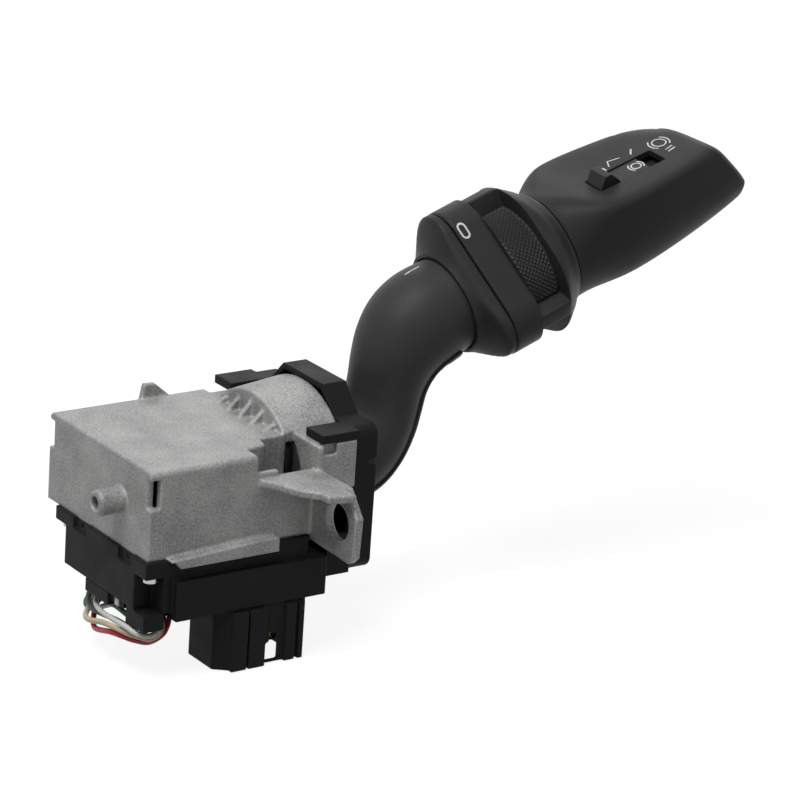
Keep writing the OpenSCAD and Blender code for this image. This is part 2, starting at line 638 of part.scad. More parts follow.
module lower_cover() color([0.1, 0.1, 0.11]) difference() {
    union() {
        difference() {
            union() {
                box([cover_x0, cover_y0, rim_z - cover_flange], [cover_x1, cover_y1, rim_z]);
                box([cover_x0, cover_y0, cover_z], [cover_x1, cover_neck_y1, rim_z]);
                translate([0, 0, front_block_z])
                    linear_extrude(rim_z - front_block_drop - front_block_z) front_block_plan(0);
            }
            difference() {
                union() {
                    box([cover_x0 + shell_wall, cover_y0 + shell_wall, rim_z - 2.5],
                        [cover_x1 - shell_wall, cover_y1 - shell_wall, rim_z + 1]);
                    box([cover_x0 + shell_wall, cover_y0 + shell_wall, cover_z + shell_wall],
                        [cover_x1 - shell_wall, cover_neck_y1 - shell_wall, rim_z + 1]);
                    translate([0, 0, front_block_z + shell_wall])
                        linear_extrude(rim_z - front_block_drop - front_block_z - 2 * shell_wall)
                            front_block_plan(shell_wall);
                }
                box([cover_x0, cover_y0, cover_z], [notch_x + shell_wall, notch_y + shell_wall, rim_z]);
            }
        }
        for (p = [cover_screw_at[1], cover_screw_at[2]])
            translate([p[0], p[1], rim_z - cover_flange]) cylinder(r = screw_boss_r, h = cover_flange);
        for (p = board_screw_at)
            translate([p[0], p[1], front_block_z + 3])
                cylinder(r = 2.6, h = board_bottom - front_block_z - 3);
    }
    box([cover_x0 - 1, cover_y0 - 1, cover_z - 1], [notch_x, notch_y, rim_z - 5.5]);
    at_pivot() rod_x(carrier_x0 - pivot_x - gap, 0, carrier_r + gap);
    for (y = snap_y) {
        box([cover_x0 - 1, y - snap_w / 2, rim_z - snap_h],
            [cover_x0 + snap_depth, y + snap_w / 2, rim_z + 1]);
        box([cover_x0 - 1, y - 1, rim_z - snap_h + 1], [cover_x0 + snap_depth + 0.5, y + 1, rim_z - 1]);
    }
    for (p = cover_screw_at)
        translate([p[0], p[1], rim_z - 8]) cylinder(r = screw_r + 0.2, h = 9);
    for (p = board_screw_at)
        translate([p[0], p[1], board_bottom - 5]) cylinder(r = 1.1 + run_fit, h = 6);
    for (y = row_y)
        box([row_x0 - 1.2, y - contact_w / 2 - gap, front_block_z - 1],
            [row_x0 + pin_pitch * (pin_count - 1) + 1.2, y + contact_w / 2 + gap, front_block_z + 5]);
    box([gland_a[0], gland_a[1], cover_z - 1], [gland_a[2], gland_a[3], cover_z + shell_wall + 1]);
    box([gland_b[0], gland_b[1], cover_z - 1], [gland_b[2], gland_b[3], cover_z + shell_wall + 1]);
}
// Outline of the socket seen from below, with one cut corner that keys the plug
module socket_plan(inset) {
    x0 = socket_x0 + inset;
    x1 = socket_x0 + socket_l - inset;
    y0 = socket_y0 + inset;
    y1 = socket_y0 + socket_w - inset;
    polygon([[x0, y0 + 3], [x0 + 4, y0], [x1, y0], [x1, y1], [x0, y1]]);
}
module socket_window(y0, y1) {
    translate([socket_x0, 0, front_block_z]) slab_y(y0, y1)
        polygon([[17.8, -19.4], [17.8, -13.6], [19.2, -12.9], [19.2, -9.6], [22.9, -10.8], [22.9, -19.4]]);
}
module plug_socket() color([0.12, 0.12, 0.13]) difference() {
    y1 = socket_y0 + socket_w;
    z0 = front_block_z - socket_h;
    union() {
        translate([0, 0, z0]) linear_extrude(socket_h) socket_plan(0);
        for (x = socket_keys)
            box([socket_x0 + x[0], socket_y0 - socket_key_h, z0],
                [socket_x0 + x[1], socket_y0 + 1, front_block_z - 0.6]);
        for (x = socket_ridges)
            box([socket_x0 + x[0], socket_y0 - socket_ridge_h, z0],
                [socket_x0 + x[1], socket_y0 + 1, front_block_z - 0.6]);
    }
    translate([0, 0, z0 - 1]) linear_extrude(socket_h + 1 - shell_wall) socket_plan(shell_wall);
    for (y = row_y)
        box([row_x0 - 1.2, y - contact_w / 2 - gap, front_block_z - 3],
            [row_x0 + pin_pitch * (pin_count - 1) + 1.2, y + contact_w / 2 + gap, front_block_z + 1]);
    socket_window(socket_y0 - 3, socket_y0 + shell_wall + 1);
    socket_window(y1 - shell_wall - 1, y1 + 1);
}
module contact_pins() color("gold") {
    for (y = row_y, i = [0 : pin_count - 1])
        box([row_x0 + i * pin_pitch - contact_w / 2, y - contact_w / 2, front_block_z - socket_h + 6],
            [row_x0 + i * pin_pitch + contact_w / 2, y + contact_w / 2, board_bottom]);
}
module circuit_board() color("darkgreen") difference() {
    box([board_x0, board_y0, board_bottom], [board_x1 - 1, board_y1, board_top]);
    box([board_x0 - 1, board_y0 - 1, board_bottom - 1],
        [notch_x + shell_wall + gap, notch_y + shell_wall + gap, board_top + 1]);
    for (p = board_screw_at)
        translate([p[0], p[1], board_bottom - 1]) cylinder(r = 1.3, h = board_t + 2);
}
module board_chips() color([0.08, 0.08, 0.08]) {
    for (c = [[14, 4, 10, 10, 1.6], [30, 18, 8, 5, 1.4], [16, 20, 5, 4, 1.2], [32, 0, 6, 6, 1.4]])
        box([c[0], c[1], board_top], [c[0] + c[2], c[1] + c[3], board_top + c[4]]);
}
module hall_sensors() color([0.08, 0.08, 0.08]) {
    for (s = [-1, 1])
        translate([magnet_x, pivot_y + s * 3.4, board_top])
            box([-2, -1.5, 0], [2, 1.5, 1.5]);
}
module cover_screws() color([0.75, 0.75, 0.77]) {
    for (i = [0 : 2])
        translate([cover_screw_at[i][0], cover_screw_at[i][1], rim_z - (i == 0 ? 5.5 : cover_flange)])
            screw(screw_head_r, screw_head_h, screw_r, i == 0 ? 13 : 12);
}
module bezel_screws() color([0.7, 0.7, 0.72]) {
    for (p = bezel_screw_at)
        translate([bezel_x1 - screw_head_h - 1, p[0], p[1]]) rotate([0, -90, 0])
            screw(screw_head_r, screw_head_h, screw_r, 14);
}
module board_screws() color([0.75, 0.75, 0.77]) {
    for (p = board_screw_at)
        translate([p[0], p[1], board_top]) rotate([180, 0, 0]) screw(2.1, 1.4, 1.1, 5);
}

// Leads and what holds them
module lead_clip() color([0.1, 0.1, 0.11]) difference() {
    union() {
        box([cover_x0, 3.5, cover_z - 4.2], [6, 17.5, cover_z]);
        box([cover_x0 + 1, -4.6, cover_z - 2.6], [6, 3.5 + eps, cover_z]);
    }
    box([cover_x0 - 1, -2.2, cover_z - 3], [cover_x0 + 2.8, 0.8, cover_z + 1]);
}
module key_post() color("white") {
    box([cover_x0 + 0.6, -1.8, cover_z - 2.8], [cover_x0 + 2.6, 0.4, cover_z]);
}
module plug_block() color([0.1, 0.1, 0.11]) difference() {
    box([cover_x0 + 0.5, front_y, cover_z - 6], [6.8, front_y + 10.8, cover_z]);
    box([cover_x0, front_y - 1, cover_z - 0.7], [notch_x, notch_y, cover_z + 1]);
}
module lead_glands() color([0.14, 0.14, 0.15]) {
    for (g = [gland_a, gland_b])
        box([g[0] + 0.05, g[1] + 0.05, gland_z], [g[2] - 0.05, g[3] - 0.05, gland_z + shell_wall + 0.8]);
}
module lead_green() color("seagreen") lead(green_route);
module lead_black() color([0.1, 0.1, 0.1]) lead(black_route);
module lead_white() color("white") lead(white_route);
module lead_beige() color("wheat") lead(beige_route);
module lead_red() color("crimson") lead(red_route);

// Two-axis pivot with its detent and sensor magnet
module pivot_carrier() color([0.55, 0.56, 0.58]) at_pivot() difference() {
    rod_x(carrier_x0 - pivot_x, carrier_x1 - pivot_x, carrier_r);
    slab_x(-20, 20) rounded_rect([-carrier_bore_y, -carrier_bore_z], [carrier_bore_y, carrier_bore_z], 5);
    box([-20, -40, -60], [20, 40, -carrier_flat]);
    translate([0, 0, -40]) cylinder(r = pin_r + run_fit, h = 80);
}
module gimbal_frame() color([0.6, 0.61, 0.63]) at_pivot() difference() {
    slab_x(-frame_half_x, frame_half_x) rounded_rect([-frame_y, -frame_z], [frame_y, frame_z], 3.5);
    slab_x(-20, 20) rounded_rect([-frame_bore_y, -frame_bore_z], [frame_bore_y, frame_bore_z], 3);
    translate([0, 0, -40]) cylinder(r = pin_r + run_fit, h = 80);
    rod_y(-40, 40, pin_r + run_fit);
}
module yaw_pins() color([0.78, 0.78, 0.8]) at_pivot() {
    for (s = [0, 180])
        rotate([s, 0, 0]) translate([0, 0, frame_bore_z + 0.1])
            cylinder(r = pin_r, h = yaw_pin_end - frame_bore_z - 0.1);
}
module pitch_pins() color([0.78, 0.78, 0.8]) at_pivot() {
    for (s = [0, 180])
        rotate([s, 0, 0]) rod_y(lead_bore_r + 1, frame_y - 0.2, pin_r);
}
module stalk_core() color([0.22, 0.22, 0.24]) at_pivot() difference() {
    union() {
        rod_x(tail_x - pivot_x, -8, tail_r);
        translate([-10, 0, 0]) rotate([0, 90, 0]) cylinder(r1 = tail_r, r2 = core_r, h = 3);
        rod_x(-7, root_x - pivot_x + 1, core_r);
        rod_x(root_x - pivot_x + 0.5, spigot_x1 - pivot_x, spigot_r);
        translate([magnet_x - pivot_x, 0, -tail_r - 0.8]) cylinder(r = 4, h = tail_r);
    }
    rod_x(-12, 30, lead_bore_r);
    rod_x(tail_x - pivot_x - 1, tail_x - pivot_x + plunger_bore_l, plunger_d / 2 + run_fit);
    box([-13, -3, -12], [-9, 3, 0]);
    rod_y(-20, 20, pin_r + run_fit);
}
module dust_cap() color([0.09, 0.09, 0.09]) at_pivot() difference() {
    sphere(r = cap_r);
    sphere(r = cap_r - 1.2);
    rod_x(-cap_r - 1, cap_r * 0.373, cap_r + 1);
    rod_x(0, cap_r + 1, stalk_r + run_fit);
}
module detent_cup() color([0.85, 0.84, 0.8]) at_pivot() difference() {
    union() {
        box([cup_x0 - pivot_x, -cup_half, -cup_half], [cup_x0 - pivot_x + 5, cup_half, cup_half]);
        box([cup_x0 - pivot_x, -4.6, cup_half - 1],
            [cup_x0 - pivot_x + 3, 4.6, top_z - cast_wall - 2 - pivot_z]);
    }
    sphere(r = plunger_reach + gap);
}
module detent_plunger() color("goldenrod") at_pivot() {
    translate([-plunger_reach + plunger_d / 2, 0, 0]) sphere(r = plunger_d / 2);
    rod_x(-plunger_reach + plunger_d / 2, -plunger_reach + plunger_l, plunger_d / 2);
}
// Helical spring along +X from x = 0, as rings of a round wire
function spring_ring(r, l, turns, wire, i, steps) =
    let (a = 360 * turns * i / steps, out = [0, cos(a), sin(a)], c = r * out + [l * i / steps, 0, 0])
    [for (k = [0 : 5]) c + wire * (cos(60 * k) * out + sin(60 * k) * [1, 0, 0])];
module spring(r, l, turns, wire) {
    steps = turns * 10;
    skin([for (i = [0 : steps]) spring_ring(r, l, turns, wire, i, steps)]);
}
module plunger_spring() color("silver") at_pivot() {
    x0 = -plunger_reach + plunger_l + 0.4;
    translate([x0, 0, 0]) spring(plunger_d / 2 - 0.7, tail_x - pivot_x + plunger_bore_l - 0.4 - x0, 5, 0.3);
}
module tail_magnet() color([0.5, 0.5, 0.53]) {
    translate([magnet_x, pivot_y, pivot_z - tail_r - 0.8 - 2]) cylinder(r = 3, h = 2);
}

// Stalk, collar and selector ring
stalk_sides = 32;
function stalk_ring(i, grow) = stalk_arc(i, grow, 0, 360 - 360 / stalk_sides, stalk_sides - 1);
module stalk_tube() color([0.13, 0.13, 0.14]) {
    last = len(stalk_path) - 1;
    skin(concat([for (i = [0 : last]) stalk_ring(i, 0)],
        [for (i = [last : -1 : 0]) stalk_ring(i, -stalk_wall)]), true);
}
module underside_cover() color([0.12, 0.12, 0.13]) {
    skin([for (i = [6 : len(stalk_path) - 5])
        concat(stalk_arc(i, 1, -50, 50, 9), stalk_arc(i, 0.1, 50, -50, 9))]);
}
module collar() color([0.13, 0.13, 0.14]) at_ring() difference() {
    tri_slab(collar_a1 - collar_l, collar_a1, lobe_r, flat_r - 0.8);
    rod_x(-20, 0, stalk_r + 1.3 + gap);
    rod_x(-20, 20, sleeve_r + run_fit);
    difference() {
        tri_slab(-20, collar_a1 - collar_l + 2.4, lobe_r - 2, flat_r - 2.8);
        rod_x(-21, 0, stalk_r + 3.6);
    }
}
module ring_sleeve() color([0.6, 0.6, 0.62]) at_ring()
    tube_x(-5, hub_a1 - 0.2, sleeve_r - sleeve_wall, sleeve_r);
module ring_board() color("darkgreen") at_ring()
    tube_x(ring_hollow_a0 + 4, ring_hollow_a0 + 4 + board_t, sleeve_r + run_fit, ring_hollow_r - 0.8);
module pad_wedge(a0, a1, r0, r1, sweep, turn) {
    rotate([turn, 0, 0]) rotate([0, 90, 0]) rotate([0, 0, -sweep / 2])
        rotate_extrude(angle = sweep) polygon([[r0, a0], [r1, a0], [r1, a1], [r0, a1]]);
}
module selector_ring() color([0.12, 0.12, 0.13]) at_ring() difference() {
    intersection() {
        union() {
            tri_slab(ring_a0, pocket_a0, lobe_r, flat_r);
            tri_slab(pocket_a0 - 1, ring_a1, rim_r, rim_flat_r);
        }
        turned([[ring_a0, 0], [ring_a0, 50], [ring_a1 - 12, 50], [ring_a1 - 12, lobe_r],
            [ring_a1 - 4.4, 23.4], [ring_a1 - 1.4, 20.6], [ring_a1, 20], [ring_a1, 0]]);
    }
    rod_x(0, 60, sleeve_r + run_fit);
    rod_x(ring_hollow_a0, ring_hollow_a1, ring_hollow_r);
    for (i = [0 : 2])
        pad_wedge(pocket_a0, pocket_a1, pocket_r, 40, pocket_sweep, pocket_turn + 120 * i);
}
module grip_pads() color([0.08, 0.08, 0.08]) at_ring()
    for (i = [0 : 2])
        pad_wedge(pocket_a0 + 0.2, pocket_a1 - 0.2, pocket_r, rim_flat_r - pad_sink,
            pocket_sweep - 1, pocket_turn + 120 * i);
module ring_magnet() color([0.5, 0.5, 0.53]) at_ring()
    pad_wedge(ring_hollow_a0 + 7, ring_hollow_a0 + 11, ring_hollow_r - 1.8, ring_hollow_r, 24, 0);

// Knob with its slide switch and push button
function power_point(half, rise, n, a) =
    [half * sign(cos(a)) * pow(abs(cos(a)), 2 / n), rise * sign(sin(a)) * pow(abs(sin(a)), 2 / n)];
// One ring of knob points of a station, at an inset and a scale
function knob_ring(s, inset, k) = [for (j = [0 : knob_sides - 1])
    let (a = 360 * (j + 0.5) / knob_sides, up = sin(a) > 0, n = up ? (cos(a) > 0 ? s[7] : s[5]) : s[6],
        q = power_point(s[1] - inset, up ? s[2] - s[3] - inset : s[4] + s[3] - inset, n, a),
        y = q[0] * k + s[8], h = (s[3] + q[1]) * k,
        lean = max(0, min(1, (s[0] - knob_slant_from) / knob_slant_over)),
        out = lean * (knob_slant * max(0, min(knob_slant_reach, s[2] - h)) - knob_skew * (y - knob_skew_y)))
    [knob_a0 + s[0] + out, y, h]];
function end_station(e) =
    let (s = knob_stations[len(knob_stations) - 1]) concat([s[0] + e[1]], [for (i = [1 : 8]) s[i]]);
module knob_skin() {
    last = len(knob_stations) - 1;
    outer = [for (i = [len(knob_end) - 1 : -1 : 0])
        knob_ring(end_station(knob_end[i]), 0, knob_end[i][0])];
    sides = [for (i = [last : -1 : 0]) knob_ring(knob_stations[i], 0, 1)];
    inside = [for (i = [0 : last]) knob_ring(knob_stations[i], knob_wall, 1)];
    inner_end = [for (e = knob_end) knob_ring(end_station([1, e[1] * 0.55]), knob_wall, e[0])];
    skin(concat(outer, sides, inside, inner_end));
}
module below_seam(lift) {
    translate([knob_a0 + 7, -40, lift - seam_h]) rotate([0, -seam_tilt, 0])
        translate([-eps, 0, -30]) cube([90, 80, 30]);
}
module knob_shell() color([0.12, 0.12, 0.13]) at_knob() difference() {
    knob_skin();
    below_seam(0);
    at_top(slot_a) box([0, slot_y - slot_w / 2, -4], [slot_l, slot_y + slot_w / 2, 4]);
    translate([button_a, 0, button_h]) rod_y(8, 40, button_r + gap);
}
module knob_cover() color([0.11, 0.11, 0.12]) at_knob() difference() {
    intersection() {
        knob_skin();
        below_seam(-0.1);
    }
    for (a = knob_screw_a)
        translate([a, 0, -30]) {
            cylinder(r = screw_r + 0.2, h = 24);
            cylinder(r = screw_head_r + 0.2, h = 30 - bottom_at(a) + 0.8);
        }
}
module knob_screws() color([0.75, 0.75, 0.77]) at_knob()
    for (a = knob_screw_a)
        translate([a, 0, 0.8 - bottom_at(a)])
            screw(screw_head_r, screw_head_h - 0.8, screw_r, bottom_at(a) - 0.8 + plate_h - 0.4);
module knob_frame() color([0.3, 0.3, 0.32]) at_knob() difference() {
    union() {
        tube_x(knob_a0 + 1, hub_a1, sleeve_r + run_fit, hub_r);
        rod_x(hub_a1 - eps, hub_a1 + 1.6, hub_r);
        box([hub_a1, -9, plate_h - 2], [92, 9, plate_h]);
        box([button_a - 7, switch_y - 2, plate_h - 1], [button_a + 7, switch_y, 7]);
        for (a = [slot_a + 2, slot_a + 24])
            translate([a, slot_y + 3, plate_h - 1]) cylinder(r = 1.8, h = board_seat(a) - plate_h + 1);
        for (a = knob_screw_a)
            translate([a, 0, knob_wall + 0.4 - bottom_at(a)])
                cylinder(r = 3.6, h = bottom_at(a) - knob_wall - 0.4 + plate_h - 1);
    }
    rod_x(0, hub_a1 + 8, lead_bore_r);
    for (a = knob_screw_a)
        translate([a, 0, -30]) cylinder(r = screw_r + run_fit, h = 30 + plate_h + 1);
}
module slider() color([0.12, 0.12, 0.13]) at_knob() at_top(slot_a) {
    w = slot_w / 2 - gap;
    box([gap, slot_y - w, -2.6], [gap + slide_plate_l, slot_y + w, -0.5]);
    box([-1, slot_y - w - 1.2, -4], [gap + slide_plate_l + 1, slot_y + w + 1.2, -2.6]);
    translate([0, slot_y, 0]) slab_y(-w, w) polygon([[gap, -0.6], [gap, 0.2], [2.6, thumb_h], [5.2, thumb_h],
        [gap + thumb_l, -0.4], [gap + thumb_l, -0.6]]);
}
module slider_board() color("darkgreen") at_knob() at_top(slot_a)
    box([-3, slot_y - 7, -4.3 - board_t], [slot_l + 2, slot_y + 8, -4.3]);
module push_button() color([0.12, 0.12, 0.13]) at_knob() translate([button_a, 0, button_h]) {
    rod_y(button_back, button_face, button_r);
    rod_y(button_back, button_back + 1.2, button_r + 0.9);
    rod_y(button_stem_y, button_back + eps, 1.4);
}
module button_spring() color("silver") at_knob() translate([button_a, 7.9, button_h])
    rotate([0, 0, 90]) spring(4, 3.4, 3, 0.25);
module button_switch() color([0.08, 0.08, 0.08]) at_knob()
    box([button_a - 2.6, switch_y, button_h - 2.6],
        [button_a + 2.6, button_stem_y - button_travel - gap, button_h + 2.6]);

housing();
bezel();
lower_cover();
plug_socket();
contact_pins();
circuit_board();
board_chips();
hall_sensors();
cover_screws();
bezel_screws();
board_screws();
lead_clip();
plug_block();
key_post();
lead_glands();
lead_green();
lead_black();
lead_white();
lead_beige();
lead_red();
pivot_carrier();
detent_cup();
gimbal_frame();
yaw_pins();
pitch_pins();
stalk_core();
dust_cap();
detent_plunger();
plunger_spring();
tail_magnet();
stalk_tube();
underside_cover();
collar();
ring_sleeve();
ring_board();
selector_ring();
grip_pads();
ring_magnet();
knob_frame();
knob_shell();
knob_cover();
knob_screws();
slider();
slider_board();
push_button();
button_spring();
button_switch();
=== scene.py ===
"""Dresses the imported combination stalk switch: cast housing, moulded covers, cranked stalk,
knurled selector ring and knob, each as its own piece on the frame of the CAD part."""
import json
import math

import bmesh
import bpy
from mathutils import Matrix, Vector

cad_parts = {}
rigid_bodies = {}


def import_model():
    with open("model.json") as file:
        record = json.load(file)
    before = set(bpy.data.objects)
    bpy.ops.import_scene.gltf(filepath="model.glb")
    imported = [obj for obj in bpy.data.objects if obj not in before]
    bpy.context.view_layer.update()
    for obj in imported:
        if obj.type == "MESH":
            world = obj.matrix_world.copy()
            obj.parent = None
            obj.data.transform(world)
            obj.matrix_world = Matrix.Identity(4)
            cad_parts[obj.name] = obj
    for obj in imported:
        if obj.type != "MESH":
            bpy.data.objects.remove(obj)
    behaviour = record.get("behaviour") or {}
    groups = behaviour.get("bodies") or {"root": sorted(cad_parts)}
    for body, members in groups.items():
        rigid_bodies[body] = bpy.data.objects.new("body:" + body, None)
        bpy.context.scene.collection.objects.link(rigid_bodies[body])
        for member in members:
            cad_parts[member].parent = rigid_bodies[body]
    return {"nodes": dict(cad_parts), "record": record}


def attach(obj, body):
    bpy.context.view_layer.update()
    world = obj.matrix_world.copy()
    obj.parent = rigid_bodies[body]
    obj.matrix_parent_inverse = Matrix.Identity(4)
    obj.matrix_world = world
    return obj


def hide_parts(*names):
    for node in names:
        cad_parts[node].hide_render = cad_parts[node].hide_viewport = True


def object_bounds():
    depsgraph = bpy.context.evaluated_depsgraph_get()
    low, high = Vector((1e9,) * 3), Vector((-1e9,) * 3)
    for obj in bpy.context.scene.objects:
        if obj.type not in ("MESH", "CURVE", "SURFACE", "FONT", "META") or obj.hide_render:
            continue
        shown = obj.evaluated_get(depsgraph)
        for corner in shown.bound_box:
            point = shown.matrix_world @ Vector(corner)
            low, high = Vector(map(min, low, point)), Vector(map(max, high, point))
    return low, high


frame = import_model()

bl_info = {
    "name": "Combination Stalk Switch",
    "version": (1, 0, 0),
    "blender": (4, 2, 0),
    "location": "View3D > Sidebar > Stalk Switch",
    "description": "Builds the looks of a steering-column stalk switch around its CAD frame",
    "category": "Object",
}

MM = 0.001
FLOOR_GAP = 0.4 * MM
CAD_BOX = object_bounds()
RECORD = frame["record"]
SLOT = {row["node"]: row["material_slot"] for row in RECORD["subparts"]}
BODY = {node: body for body, nodes in RECORD["behaviour"]["bodies"].items() for node in nodes}


def srgb(code):
    """Linear RGBA of an sRGB hex colour."""
    parts = [int(code[i:i + 2], 16) / 255 for i in (0, 2, 4)]
    return [c / 12.92 if c <= 0.04045 else ((c + 0.055) / 1.055) ** 2.4 for c in parts] + [1.0]


# Places in the part's own millimetres: the pivot, the frames of the ring and of the knob, and
# one point of the knob's top face with its fall in degrees
PIVOT = Vector((66.0, 15.5, -6.0))
RING_AT = Vector((132.3, 15.5, 43.1))
RING_TILT = 20
KNOB_ROLL = 5.7
RING_FRAME = Matrix.Translation(RING_AT) @ Matrix.Rotation(math.radians(-RING_TILT), 4, "Y")
KNOB_FRAME = RING_FRAME @ Matrix.Rotation(math.radians(KNOB_ROLL), 4, "X")
TOP_REF = (70, 16.9)
TOP_FALL = 1.8

# Stalk's centre line from the pivot: distance out, height, radius. The flare is how much wider
# its end is, and its strip has a half angle and two heights over the skin
STALK_R = 14.6
STALK_WALL = 2.2
STALK_LINE = [
    (8.5, 0, STALK_R), (18.5, 0, STALK_R), (24, 0.4, STALK_R + 0.1), (30, 2.4, STALK_R - 0.1),
    (35, 6.6, STALK_R - 0.8), (38.6, 12, STALK_R - 1.6), (40.6, 18, STALK_R - 2),
    (41.8, 24, STALK_R - 1.8), (43.4, 30, STALK_R - 0.8), (45.8, 35.6, STALK_R + 0.5),
    (49.4, 40.6, STALK_R + 1.6), (54.2, 44.3, STALK_R + 2), (60.6, 47, STALK_R + 1.7),
    (66.3, 49.1, STALK_R + 1.3),
]
STALK_STEPS = 8
STALK_FLARE = STALK_LINE[-1][2] - STALK_R
STRIP_HALF, STRIP_RISE, STRIP_BASE = 50, 1.0, 0.1

# Selector ring along its axis, its lobes, and the cone at its rear: end of each stretch, radius
# there and growth towards the band. Then its sleeve, its pockets and the pads in them
RING_A0, BAND_A1, PAD_A1, RING_A1 = 4.4, 14.8, 27.4, 37.6
LOBE_TURN = 78
LOBE_OUT, LOBE_FLAT = 29, 20.4
REAR_OUT, REAR_FLAT = 27.8, 24.4
REAR_CONE = ((RING_A1, 20, 0.43), (36.2, 20.6, 0.93), (33.2, 23.4, 0.737))
NECK_GAP = 0.8
SLEEVE_R = 13.25
POCKET_R = 20.0
POCKET_HALF, POCKET_TAPER = 51.0, 3.5
PAD_R = 22.2
PAD_HALF = 50.5
PAD_GAP, PAD_LIFT = 0.3, 0.02

# Marks: the band's middle radius, the zero's place and angle on it, and the index line's first
# and last ring of the stalk and its angle. Then the longest step of a stroke, the distance over
# which a skin's slope is measured and how deep the ink's ribbon is rooted
BAND_R, ZERO_AT = 25, (6.9, 103)
INDEX_AT = (89, 93.5, 175)
STROKE_STEP, SLOPE_STEP, INK_ROOT = 0.4, 0.05, 0.12

# Knob stations: place, half width, top, widest height, bottom, squareness of the upper front,
# of the lower half and of the upper back, shift to the back
KNOB_A0 = 38.4
KNOB_WALL = 2.2
KNOB_STATIONS = [
    (0, 19.4, 19.4, 0, 19.4, 2, 2, 2, 0), (2.5, 19.3, 19.5, 0, 19, 2.1, 2, 2.1, 0.1),
    (6, 19.8, 19.2, 1.5, 18.8, 2.8, 2.1, 2.8, 0.4), (11, 20.4, 18.7, 3.5, 19, 4.5, 2.2, 4.5, 0.4),
    (17, 21, 17.7, 5.5, 19.5, 8, 2.3, 8, 0), (25, 21.1, 17.1, 6, 19.3, 10, 2.4, 11, -0.8),
    (35, 20.5, 16.7, 6, 18.3, 10, 2.4, 11, -1.4), (45, 19.4, 16.3, 5.5, 17, 10, 2.4, 9, -1.4),
    (53, 18.1, 15.9, 5, 15.9, 9, 2.4, 5, -1.2), (59.3, 16.8, 15.5, 4.5, 15.2, 7, 2.3, 2.3, -0.9),
]
# Round end: share of the last station's size and place beyond it. The slant leans it: mm out
# for 1 mm under the top, where that starts, over how many mm it grows and how deep it goes.
# The skew turns it: mm in for 1 mm to the back, from a place across
KNOB_END = [(0.985, 1), (0.93, 2.2), (0.82, 3.3), (0.62, 4.3), (0.34, 4.9), (0.08, 5.1)]
KNOB_SLANT = (0.56, 28, 31, 20)
KNOB_SKEW = (0.09, -8)
# Seam's plane: start along the knob, depth under its axis and rise in degrees, and the lip
# behind it: inset, height over the plane and depth. Then the slot, the button, its recess, and
# the screws: place along the knob and depth of its underside there
SEAM_PLANE = (7, 17.4, 5.5)
LIP_INSET, LIP_TOP, LIP_DEPTH = 0.9, 1.2, 2.8
SLOT_A, SLOT_Y, SLOT_L, SLOT_W = 57.2, -6.0, 27.3, 8.6
BUTTON_A, BUTTON_R, BUTTON_GAP = 82.0, 6.0, 0.3
RECESS_LOW, RECESS_HIGH = (83.2, -9), (97, 22)
SCREW_PLACES = ((62, 19.4), (84, 16.9))
SCREW_HEAD_R, SCREW_R = 2.6, 1.7

# Height of the glands, how far under it a lead starts and how long it runs straight down, then
# each lead's route under the cover, from the rear gland to the front one
GLAND_Z, LEAD_START, LEAD_STRAIGHT = -32.3, 0.05, 1.2
LEADS = {
    "lead_green": [(16, 27.2), (15.2, 28.4, -37.5), (12.5, 30.8, -42.8), (8.8, 31.8, -46),
        (6.8, 29, -47.4), (7.4, 24, -46.6), (7.2, 17.5, -43.2), (5, 9, -39.6), (4, -1, -39.2),
        (4.8, -7.5, -40.6), (7.6, -9.5, -40), (9.9, -6.8, -37.8), (12.3, -2.8, -35.2),
        (12.5, -1)],
    "lead_black": [(13.2, 27.2), (12.6, 27.8, -37.5), (9, 27.4, -40.2), (4.4, 24, -41.2),
        (1.5, 17.4, -42.8), (1.4, 10, -42.3), (1.7, 2, -41.4), (2, -5, -41.2), (3.6, -9.4, -42.5),
        (7.1, -11.3, -42.3), (11.4, -9.5, -39.9), (12.9, -6.3, -36.3), (12.6, -4.2)],
    "lead_white": [(9, 21), (8.4, 21.4, -36), (5.8, 20.2, -39.4), (2, 15.6, -40.4),
        (-0.4, 8, -40.3), (-0.8, 0, -39.9), (-0.7, -7, -39.6), (0.5, -12.5, -40.3),
        (4, -15, -40.6), (7.8, -13.6, -39), (8.8, -8.1, -36.4), (8.7, -6)],
    "lead_beige": [(11, 25), (10.2, 25.2, -37.5), (6, 23.8, -43.4), (0.8, 19.4, -45.8),
        (-1.5, 13, -44.9), (-1.8, 5, -42.6), (-1.4, -2, -41.8), (-0.2, -7.6, -41.8),
        (1.6, -11, -42), (5.1, -13.4, -42.5), (9.3, -12.5, -40.2), (10.9, -8.2, -36.6),
        (11, -6.6)],
    "lead_red": [(13, 23), (12.2, 22.8, -38), (9.2, 21, -41), (5, 19.6, -42.4), (2.2, 16.8, -46),
        (-0.2, 12, -47.2), (-1.6, 6, -45.7), (-1.6, 0, -44), (0, -5.6, -43.8), (2, -8.6, -44.2),
        (6, -11, -44.6), (11.4, -10.5, -42.6), (14.7, -8, -38.2), (14.2, -6.8)],
}


def colour(name, note, code):
    return bpy.props.FloatVectorProperty(name=name, description=note, subtype="COLOR", size=4,
                                         min=0, max=1, default=srgb(code))


def length(name, note, value):
    return bpy.props.FloatProperty(name=name, description=note, unit="LENGTH", min=0,
                                   precision=5, default=value * MM)


